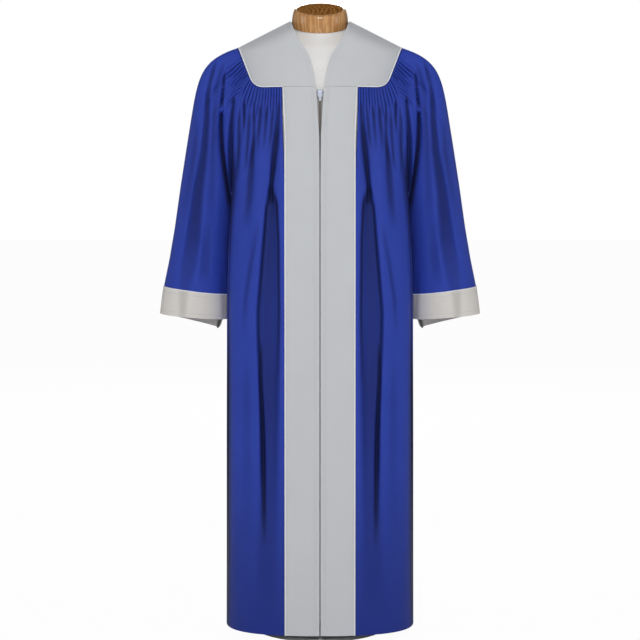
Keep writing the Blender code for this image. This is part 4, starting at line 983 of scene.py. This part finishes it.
near_seam, down_sleeve = np.linspace(0.0, 0.36, 26), np.linspace(1.1, 5.97, 46)
sleeve, sleeve_painted_shade = sleeve_grid(np.concatenate((near_seam, np.linspace(0.40, 1.0, 20), down_sleeve)))
cuff, cuff_painted_shade = sleeve_grid(np.linspace(CUFF_FIRST_ROW, CUFF_LAST_ROW, 14))
cuff = cuff + grid_normals(cuff, wrap=True) * CUFF_RISE
for side, turned in SIDES:
    cloth_piece("sleeve_cloth_" + side, turned(sleeve), blue_cloth, "blue_cloth", "sleeve_" + side,
                wrap=True, painted_shade=sleeve_painted_shade)
    cloth_piece("cuff_cloth_" + side, turned(cuff), cuff_cloth, "cuff_cloth", "cuff_" + side,
                wrap=True, wall=CUFF_WALL, painted_shade=cuff_painted_shade)

# %% [markdown]
# ## The yokes
#
# The yoke is the flat, plain part that carries the robe: two fronts and a back, cut from grey
# cloth. It is a patch between four edges: the shoulder seam, the neck edge, the outer edge and
# the lower edge. The patch is blended from its edges as they look from the front, and then laid
# on the shoulders. A few rounds of smoothing take out the ridge that the outline tables leave
# beside the shoulder point, as a press would.

# %% Make the yokes
NECK_EDGE = np.array((
    (NECK_X, NECK_Z), (0.0579, 1.3037), (0.0467, 1.2799), (0.0316, 1.2576), (0.0223, 1.2409),
    (0.0167, 1.2220), (0.0120, 1.2015), (LIP_X, YOKE_BOTTOM_Z),
))
BACK_NECK_EDGE = np.array((
    (NECK_X, NECK_Z), (0.0560, NECK_Z - 0.0040), (0.0400, NECK_Z - 0.0065), (0.0, NECK_Z - BACK_NECK_DROP),
))


def rounded_line(line, rounds=2):
    """The same line with its inner corners cut off twice, so that it reads as a curve."""
    for _ in range(rounds):
        cut = np.stack((line[:-1] * 0.75 + line[1:] * 0.25, line[:-1] * 0.25 + line[1:] * 0.75), axis=1)
        line = np.vstack((line[:1], cut.reshape(-1, 2)[1:-1], line[-1:]))
    return line


def yoke_inner(v, facing):
    if facing < 0:
        return along(rounded_line(NECK_EDGE), v)
    neck = along(rounded_line(BACK_NECK_EDGE), np.minimum(v / BACK_NECK_TURN, 1.0))
    down = np.interp(v, (BACK_NECK_TURN, 1.0), (NECK_Z - BACK_NECK_DROP, YOKE_BOTTOM_Z))
    centre = np.stack((np.zeros_like(down), down), axis=-1)
    return np.where((v <= BACK_NECK_TURN)[..., None], neck, centre)


def yoke_grid(facing, columns, rows, first_row=0.0):
    """Grid of half a yoke, neck to outer edge and shoulder seam to lower edge."""
    u, v = np.meshgrid(np.linspace(0.0, 1.0, columns), np.linspace(first_row, 1.0, rows))
    u, v = u[..., None], v[..., None]
    outline = OUTLINES[facing]
    if facing < 0:
        outline = np.vstack(((LIP_X, YOKE_BOTTOM_Z), outline))
    neck, shoulder = np.array((NECK_X, NECK_Z)), np.array((SHOULDER_X, SHOULDER_Z))
    low = along(outline, YOKE_CORNER_SHARE * u[..., 0])
    side = along(outline, 1.0 - (1.0 - YOKE_CORNER_SHARE) * v[..., 0])
    corners = (1 - u) * (1 - v) * neck + u * (1 - v) * shoulder
    corners = corners + (1 - u) * v * along(outline, 0.0) + u * v * along(outline, YOKE_CORNER_SHARE)
    top = neck * (1 - u) + shoulder * u
    flat = (1 - u) * yoke_inner(v[..., 0], facing) + u * side + (1 - v) * top + v * low - corners
    limit = outline_at(SHOULDERS, flat[..., 1])[0]
    points = shoulder_point(np.minimum(flat[..., 0], limit), flat[..., 1], facing)
    points[0, :, 1] += facing * SEAM_GAP / 2
    return points


def pressed(points, rounds=60):
    """Evens out the depth of a grid between its edges."""
    y = points[..., 1].copy()
    for _ in range(rounds):
        inside = (y[:-2, 1:-1] + y[2:, 1:-1] + y[1:-1, :-2] + y[1:-1, 2:]) / 4
        y[1:-1, 1:-1] = 0.5 * y[1:-1, 1:-1] + 0.5 * inside
    points = points.copy()
    points[..., 1] = y
    return points


yoke_front = pressed(yoke_grid(-1, 44, 44))
for side, turned in SIDES:
    cloth_piece("yoke_front_cloth_" + side, turned(yoke_front), grey_cloth, "grey_cloth", "yoke_front_" + side)
print("neck point", [round(float(v), 4) for v in yoke_front[0, 0]])

# %% [markdown]
# The back yoke is one piece, so its two halves are made as sheets, joined, and welded down the
# centre before the wall gets its thickness.

# %% Make the back yoke
WELD = 0.00004
half_back = pressed(yoke_grid(1, 44, 41))
back_yoke = grid_sheet("yoke_back_cloth", half_back, grey_cloth)
other_half = grid_sheet("yoke_back_half", mirror_x(half_back), grey_cloth)
select_only(back_yoke)
other_half.select_set(True)
bpy.ops.object.join()
bpy.ops.object.mode_set(mode="EDIT")
bpy.ops.mesh.select_all(action="SELECT")
bpy.ops.mesh.remove_doubles(threshold=WELD)
bpy.ops.object.mode_set(mode="OBJECT")
finish_cloth(back_yoke, "grey_cloth", "yoke_back")

# %% [markdown]
# ## The bands
#
# Two grey bands run from the yoke to the hem and meet over the zip. They are pressed flat, so
# they keep almost straight while the blue beside them folds. Lines of stitching beside the
# opening sink a little into the cloth.

# %% Make the bands
STITCH_LINES = (0.0065, 0.0105)
STITCH_SINK, SINK_WIDTH = 0.00035, 0.0011
BAND_SLACK = 0.0010


def opening_edge(z):
    return np.interp(z, *np.array(OPENING_EDGE).T)


def band_y(x, z):
    """Y of the robe's front at the bands, from the yoke's lower edge to the hem."""
    x, z = np.broadcast_arrays(np.asarray(x, float), np.asarray(z, float))
    away = seam_away(0.01, -1)[1]
    drop = YOKE_BOTTOM_Z - UNDERARM_Z
    top = wall_y(SHOULDERS, x, YOKE_BOTTOM_Z, -1)
    low = wall_y(BODY, x, UNDERARM_Z, -1)
    t = np.clip((YOKE_BOTTOM_Z - z) / drop, 0.0, 1.0)
    upper = hermite(top[..., None], away * drop, low[..., None], -0.08 * drop, t)[..., 0]
    return np.where(z < UNDERARM_Z, wall_y(BODY, x, z, -1), upper)


def band_grid(columns=33, rows=170):
    z = np.linspace(YOKE_BOTTOM_Z - SEAM_GAP, HEM_Z, rows)
    u, z = np.meshgrid(np.linspace(0.0, 1.0, columns), z)
    edge = opening_edge(z)
    x = edge + (band_edge_x(z) - SEAM_GAP / 2 - edge) * u
    points = np.stack((x, band_y(x, z), z), axis=-1)
    sink = sum(np.exp(-((x - edge - line) / SINK_WIDTH) ** 2) for line in STITCH_LINES) * STITCH_SINK
    inside = smooth_step(u * 6) * smooth_step((1 - u) * 6) * smooth_step((YOKE_BOTTOM_Z - z) * 12)
    slack = BAND_SLACK * np.sin(z * 9.0 + 4.0 * u) * np.sin(z * 23.0 + 1.0) * inside
    return points + grid_normals(points) * (slack - sink)[..., None]


band = band_grid()
for side, turned in SIDES:
    cloth_piece("band_cloth_" + side, turned(band), grey_cloth, "grey_cloth", "band_" + side)
print("band meets the zip at", round(float(band[0, 0, 0]), 4), "m from the centre at its top")

# %% [markdown]
# ## Turned edges
#
# Where the grey cloth meets the blue it is folded under and pressed, which leaves a thin round
# edge that catches the light. Each edge is a curve along the seam with a round section, turned
# into a mesh, and half sunk in the cloth. The yoke's and the bands' outer edges and the cuffs' top
# edges get a paler cloth than their own grey, a painted highlight for that light.

# %% Lay the turned edges
EDGE_RADIUS, FINE_RADIUS, SEAM_RADIUS = 0.0013, 0.0008, 0.0009


def edge_roll(name, path, radius, finish, slot, sheet):
    """A round edge along a path of points, which is closed round a cuff."""
    closed = slot == "cuff_cloth"
    data = bpy.data.curves.new(name, "CURVE")
    data.dimensions = "3D"
    data.bevel_depth = radius
    data.bevel_resolution = 3
    data.use_fill_caps = not closed
    line = data.splines.new("POLY")
    line.points.add(len(path) - 1)
    line.points.foreach_set("co", np.column_stack((path, np.ones(len(path)))).ravel())
    line.use_cyclic_u = closed
    roll = bpy.data.objects.new(name, data)
    bpy.context.scene.collection.objects.link(roll)
    roll.data.materials.append(finish)
    select_only(roll)
    bpy.ops.object.convert(target="MESH")
    roll = bpy.context.object
    bpy.ops.object.shade_smooth_by_angle(angle=math.radians(60))
    wear(roll, slot)
    TRIMS[sheet].append(roll)


def lay_both(edges):
    """Lays each edge of a table on the left and then on the right."""
    for side, turned in SIDES:
        for name, path, radius, finish, slot, sheet in edges:
            edge_roll(name + side, turned(path), radius, finish, slot, sheet + side)


def sunk(grid, normals, line, depth=0.0003):
    """A line of a grid, moved a little into the cloth."""
    return grid[line] - normals[line] * depth


yoke_normals, band_normals = grid_normals(yoke_front), grid_normals(band)
cuff_normals = grid_normals(cuff, wrap=True)
start = int(np.argmax(yoke_front[-1, :, 0] > BAND_TOP_X))
outer_edge = sunk(yoke_front, yoke_normals, np.s_[:, -1])
yoke_path = np.vstack((sunk(yoke_front, yoke_normals, np.s_[-1, start:]), outer_edge[::-1][1:]))
neck_path = sunk(yoke_front, yoke_normals, np.s_[:, 0], 0.0006)
band_path = sunk(band, band_normals, np.s_[:, -1])
open_path = sunk(band, band_normals, np.s_[:, 0], 0.0007)
cuff_path = sunk(cuff, cuff_normals, 0, 0.0002)
cuff_low_path = sunk(cuff, cuff_normals, -1, 0.0006)
shoulder_path = sunk(yoke_front, yoke_normals, 0, 0.0006)
side_path = front[-70:, -1] - np.array((0.0006, 0.0, 0.0))

# name, path, radius, finish, slot and sheet
lay_both((
    ("yoke_edge_", yoke_path, EDGE_RADIUS, painted_highlight_cloth, "grey_cloth", "yoke_front_cloth_"),
    ("neck_edge_", neck_path, FINE_RADIUS, grey_cloth, "grey_cloth", "yoke_front_cloth_"),
    ("band_edge_", band_path, EDGE_RADIUS * 0.9, painted_highlight_cloth, "grey_cloth", "band_cloth_"),
    ("opening_edge_", open_path, FINE_RADIUS, grey_cloth, "grey_cloth", "band_cloth_"),
    ("cuff_edge_", cuff_path, EDGE_RADIUS, painted_highlight_cloth, "cuff_cloth", "cuff_cloth_"),
    ("cuff_hem_", cuff_low_path, FINE_RADIUS, cuff_cloth, "cuff_cloth", "cuff_cloth_"),
))
lay_both((
    ("shoulder_seam_", shoulder_path, SEAM_RADIUS, grey_cloth, "grey_cloth", "yoke_front_cloth_"),
    ("side_seam_", side_path, SEAM_RADIUS, blue_cloth, "blue_cloth", "front_cloth_"),
))
back_path = np.vstack((mirror_x(half_back[-1, ::-1]), half_back[-1, 1:]))
back_edge = np.vstack((mirror_x(half_back[:, -1]), back_path[1:-1], half_back[::-1, -1]))
edge_roll("yoke_back_edge", back_edge, EDGE_RADIUS, painted_highlight_cloth, "grey_cloth", "yoke_back_cloth")
print("edges laid, radius", EDGE_RADIUS * 1000, "mm")

# %% [markdown]
# ## Stitching
#
# Two rows of topstitching hold the zip behind each band, one runs inside each yoke edge and one
# above each cuff's hem. A stitch is modelled once, as a cube whose ends are drawn in, and its
# mesh is copied along each row with a small gap between the stitches.

# %% Sew the topstitching
STITCH_LENGTH, STITCH_WIDTH, STITCH_PITCH = 0.0024, 0.0006, 0.0032
STITCH_RISE = 0.00006

bpy.ops.object.select_all(action="DESELECT")
bpy.ops.mesh.primitive_cube_add(size=1.0)
stitch = bpy.context.object
bpy.ops.object.mode_set(mode="EDIT")
bpy.ops.mesh.subdivide(number_cuts=1)
bpy.ops.object.mode_set(mode="OBJECT")
for vertex in stitch.data.vertices:
    if abs(vertex.co.x) > 0.4:
        vertex.co.y *= 0.45
        vertex.co.z = vertex.co.z * 0.45 - 0.25
STITCH_POINTS = np.array([vertex.co[:] for vertex in stitch.data.vertices])
STITCH_FACES = [list(face.vertices) for face in stitch.data.polygons]
bpy.data.objects.remove(stitch)


def blocks(name, points, finish, slot):
    """One piece from copies of the stitch's mesh; points holds the vertices of each copy."""
    step = len(STITCH_POINTS)
    faces = [[number + k * step for number in face] for k in range(len(points)) for face in STITCH_FACES]
    row = mesh_object(name, points.reshape(-1, 3), faces, finish)
    row.data.shade_smooth()
    wear(row, slot)
    return row


def sew(name, path, normals, slot, sheet):
    """Stitches along a path, each lying in the cloth's surface."""
    lengths = np.concatenate(((0.0,), np.cumsum(np.linalg.norm(np.diff(path, axis=0), axis=1))))
    places = np.arange(STITCH_PITCH, lengths[-1] - STITCH_PITCH, STITCH_PITCH)

    def at(values, place):
        return np.stack([np.interp(place, lengths, values[:, k]) for k in range(3)], axis=-1)

    ahead = unit(at(path, places + 0.001) - at(path, places - 0.001))
    up = unit(at(normals, places))
    aside = np.cross(up, ahead)
    size = STITCH_POINTS * (STITCH_LENGTH, STITCH_WIDTH, STITCH_WIDTH * 0.8) + (0.0, 0.0, STITCH_RISE)
    points = at(path, places)[:, None] + sum(
        size[None, :, k:k + 1] * way[:, None] for k, way in enumerate((ahead, aside, up)))
    TRIMS[sheet].append(blocks(name, points, thread_grey, slot))
    return len(places)


def between(grid, column):
    """A line of the grid at a fractional column."""
    low = int(column)
    return grid[:, low] * (1.0 - column + low) + grid[:, low + 1] * (column - low)


def inside_yoke_edge(grid):
    inset = grid.shape[1] - 2.4
    return np.vstack((grid[-3, start:], between(grid, inset)[-4::-1]))


def round_cuff(grid, level):
    return np.vstack((grid[level], grid[level, :1]))


# name, path, normals, slot and sheet
seams = []
band_width = float(band[80, -1, 0] - band[80, 0, 0])
for number, line in enumerate(STITCH_LINES + (band_width - 0.004,)):
    column = line / band_width * (band.shape[1] - 1)
    seams.append(("band_stitches_%s_" + str(number), between(band, column), between(band_normals, column),
                  "grey_cloth", "band_cloth_"))
seams.append(("yoke_stitches_%s", inside_yoke_edge(yoke_front), inside_yoke_edge(yoke_normals),
              "grey_cloth", "yoke_front_cloth_"))
seams.append(("neck_stitches_%s", between(yoke_front, 2.6), between(yoke_normals, 2.6),
              "grey_cloth", "yoke_front_cloth_"))
for number, level in enumerate((-3, 2)):
    seams.append(("cuff_stitches_%s_" + str(number), round_cuff(cuff, level), round_cuff(cuff_normals, level),
                  "cuff_cloth", "cuff_cloth_"))
sewn = 0
for side, turned in SIDES:
    for name, path, normals, slot, sheet in seams:
        sewn += sew(name % side, turned(path), turned(normals), slot, sheet + side)
print("stitches:", sewn)

# %% [markdown]
# ## Zip teeth
#
# The zip is a coil zip: each half is a spiral of monofilament sewn to its tape, which reads as
# fine teeth. A tooth is the stitch's block in another size, repeated down both tapes. Above the slider the
# zip is open, so there are no teeth between the lips of the yoke.

# %% Make the zip's teeth
TOOTH_PITCH = 0.0021
TOOTH_SIZE = (0.0024, 0.0014, 0.0013)
TOOTH_TOP_Z, TOOTH_LOW_Z = 1.158, 0.062
TOOTH_X, TOOTH_BEHIND = 0.0011, 0.0014


def zip_teeth(side, sign):
    z = np.arange(TOOTH_TOP_Z, TOOTH_LOW_Z, -TOOTH_PITCH) - (TOOTH_PITCH / 2 if sign > 0 else 0.0)
    x = np.full_like(z, sign * TOOTH_X)
    middles = np.stack((x, band_y(np.abs(x), z) + TOOTH_BEHIND, z), axis=-1)
    blocks("zip_teeth_" + side, middles[:, None] + STITCH_POINTS * TOOTH_SIZE, zip_coil, "zip_tape")
    return len(z)


print("teeth:", zip_teeth("left", 1.0), zip_teeth("right", -1.0))

# %% [markdown]
# ## The dress form
#
# The form is foam covered with white jersey, cut off at the hips and turned towards a short
# neck. Only the throat shows in the robe's opening. It is a stack of outlines with smooth
# changes between them, drawn in to the tilted edge of the neck cap.

# %% Make the form's torso
TORSO = np.array((
    (0.690, 0.112, 0.070, 0.066, 0.000, 2.10),
    (0.700, 0.128, 0.080, 0.078, 0.000, 2.10),
    (0.745, 0.144, 0.086, 0.088, 0.000, 2.10),
    (0.840, 0.148, 0.087, 0.090, 0.000, 2.10),
    (0.950, 0.122, 0.080, 0.080, 0.000, 2.10),
    (1.040, 0.136, 0.088, 0.084, -0.002, 2.15),
    (1.110, 0.149, 0.095, 0.090, -0.002, 2.20),
    (1.175, 0.1560, 0.1008, 0.0988, 0.000, 2.20),
    (1.205, 0.1625, 0.0958, 0.0968, 0.000, 2.20),
    (1.235, 0.1660, 0.0872, 0.0945, -0.002, 2.15),
    (1.250, 0.1610, 0.0780, 0.0905, -0.005, 2.10),
    (1.263, 0.1500, 0.0700, 0.0875, -0.007, 2.08),
))
CAP_TILT = math.radians(19)
CAP_PLACE = (0.0, -0.008, 1.312)
NECK_RADIUS = 0.0597


def form_grid(rows=120, columns=96):
    z = np.concatenate((np.linspace(TORSO[0, 0], 0.70, 8), np.linspace(0.70, TORSO[-1, 0], rows)[1:]))
    turn, z = np.meshgrid(np.arange(columns) * 2 * math.pi / columns, z)
    half, front, back, middle, power = outline_at(TORSO, z)
    reach = reach_along(turn, half, np.where(np.cos(turn) >= 0, front, back), power)
    body = np.stack((reach * np.sin(turn), middle - reach * np.cos(turn), z), axis=-1)
    ahead = -NECK_RADIUS * np.cos(turn[0])
    neck = np.stack((NECK_RADIUS * np.sin(turn[0]), CAP_PLACE[1] + ahead * math.cos(CAP_TILT),
                     CAP_PLACE[2] - 0.0008 + ahead * math.sin(CAP_TILT)), axis=-1)
    t = np.linspace(0.0, 1.0, 16)[1:]
    last, before = body[-1], body[-2]
    leave = unit(last - before) * 0.030
    arrive = np.array((0.0, -math.sin(CAP_TILT), math.cos(CAP_TILT))) * 0.022
    throat = [hermite(last, leave, neck, arrive, np.full(columns, share)) for share in t]
    return np.vstack((body, throat))


form_points = form_grid()
form = grid_sheet("form_jersey", form_points, white_jersey, wrap=True)
select_only(form)
bpy.ops.object.mode_set(mode="EDIT")
bpy.ops.mesh.select_all(action="DESELECT")
bpy.ops.mesh.select_non_manifold()
bpy.ops.mesh.edge_face_add()
bpy.ops.object.mode_set(mode="OBJECT")
bpy.ops.object.shade_smooth_by_angle(angle=math.radians(50))
wear(form, "white_jersey", "form_torso")
print("form", len(form.data.polygons), "faces, top at", round(float(form_points[..., 2].max()), 3))

# %% [markdown]
# ## The neck cap
#
# The cap is a turned block of varnished hardwood, rounded over at the top, with darker end
# grain on its flat top. It is a cylinder whose edges are bevelled and whose top is narrower, then
# tilted a little forward like the neck it closes.

# %% Turn the neck cap
CAP_RADIUS, CAP_TOP_RADIUS, CAP_HEIGHT = 0.0612, 0.0560, 0.0362
CAP_BULGE = 0.012
CAP_LEVELS = (0.008, 0.016, 0.024)
# level, size and steps of the rounding of each rim
CAP_RIMS = ((CAP_HEIGHT, 0.0085, 8), (0.0, 0.0012, 3))


def widen(vertex, factor):
    vertex.co.x *= factor
    vertex.co.y *= factor


bpy.ops.object.select_all(action="DESELECT")
bpy.ops.mesh.primitive_cylinder_add(vertices=96, radius=CAP_RADIUS, depth=CAP_HEIGHT,
                                    location=(0.0, 0.0, CAP_HEIGHT / 2))
cap = bpy.context.object
cap.name = "neck_cap_wood"
bpy.ops.object.transform_apply(location=True, rotation=False, scale=False)
for vertex in cap.data.vertices:
    if vertex.co.z > CAP_HEIGHT / 2:
        widen(vertex, CAP_TOP_RADIUS / CAP_RADIUS)
shape = bmesh.new()
shape.from_mesh(cap.data)
for level in CAP_LEVELS:
    bmesh.ops.bisect_plane(shape, geom=shape.verts[:] + shape.edges[:] + shape.faces[:],
                           plane_co=(0, 0, level), plane_no=(0, 0, 1))
for vertex in shape.verts:
    widen(vertex, 1.0 + CAP_BULGE * math.sin(math.pi * vertex.co.z / CAP_HEIGHT))
for level, size, steps in CAP_RIMS:
    rim = [edge for edge in shape.edges if all(abs(v.co.z - level) < 1e-6 for v in edge.verts)]
    bmesh.ops.bevel(shape, geom=rim, offset=size, segments=steps, profile=0.6, affect="EDGES")
shape.to_mesh(cap.data)
shape.free()
cap.data.materials.append(cap_wood)
cap.data.materials.append(cap_top_wood)
for face in cap.data.polygons:
    if face.normal.z > 0.999 and face.center.z > CAP_HEIGHT - 0.001:
        face.material_index = 1
cap.location = CAP_PLACE
cap.rotation_euler = (CAP_TILT, 0.0, 0.0)
select_only(cap)
bpy.ops.object.transform_apply(location=True, rotation=True, scale=True)
bpy.ops.object.shade_smooth_by_angle(angle=math.radians(30))
wear(cap, "wood", "form_neck_cap")
print("cap top at", round(max(v.co.z for v in cap.data.vertices), 4))

# %% [markdown]
# ## The pieces that stay as the CAD made them
#
# The pole, the base, the slider, the pull and the zip tapes already have their shapes, so they
# only get their finishes.

# %% Finish the carried-over pieces
CARRIED = {
    "stand_pole": white_steel, "stand_base": white_steel, "zip_slider": zip_metal, "zip_pull": zip_metal,
    "zip_tape_left": zip_tape, "zip_tape_right": zip_tape,
}
for node, finish in CARRIED.items():
    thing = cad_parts[node]
    thing = thing if hasattr(thing, "material_slots") else bpy.data.objects[node]
    for slot in thing.material_slots:
        slot.material = finish
print("carried over:", ", ".join(CARRIED))
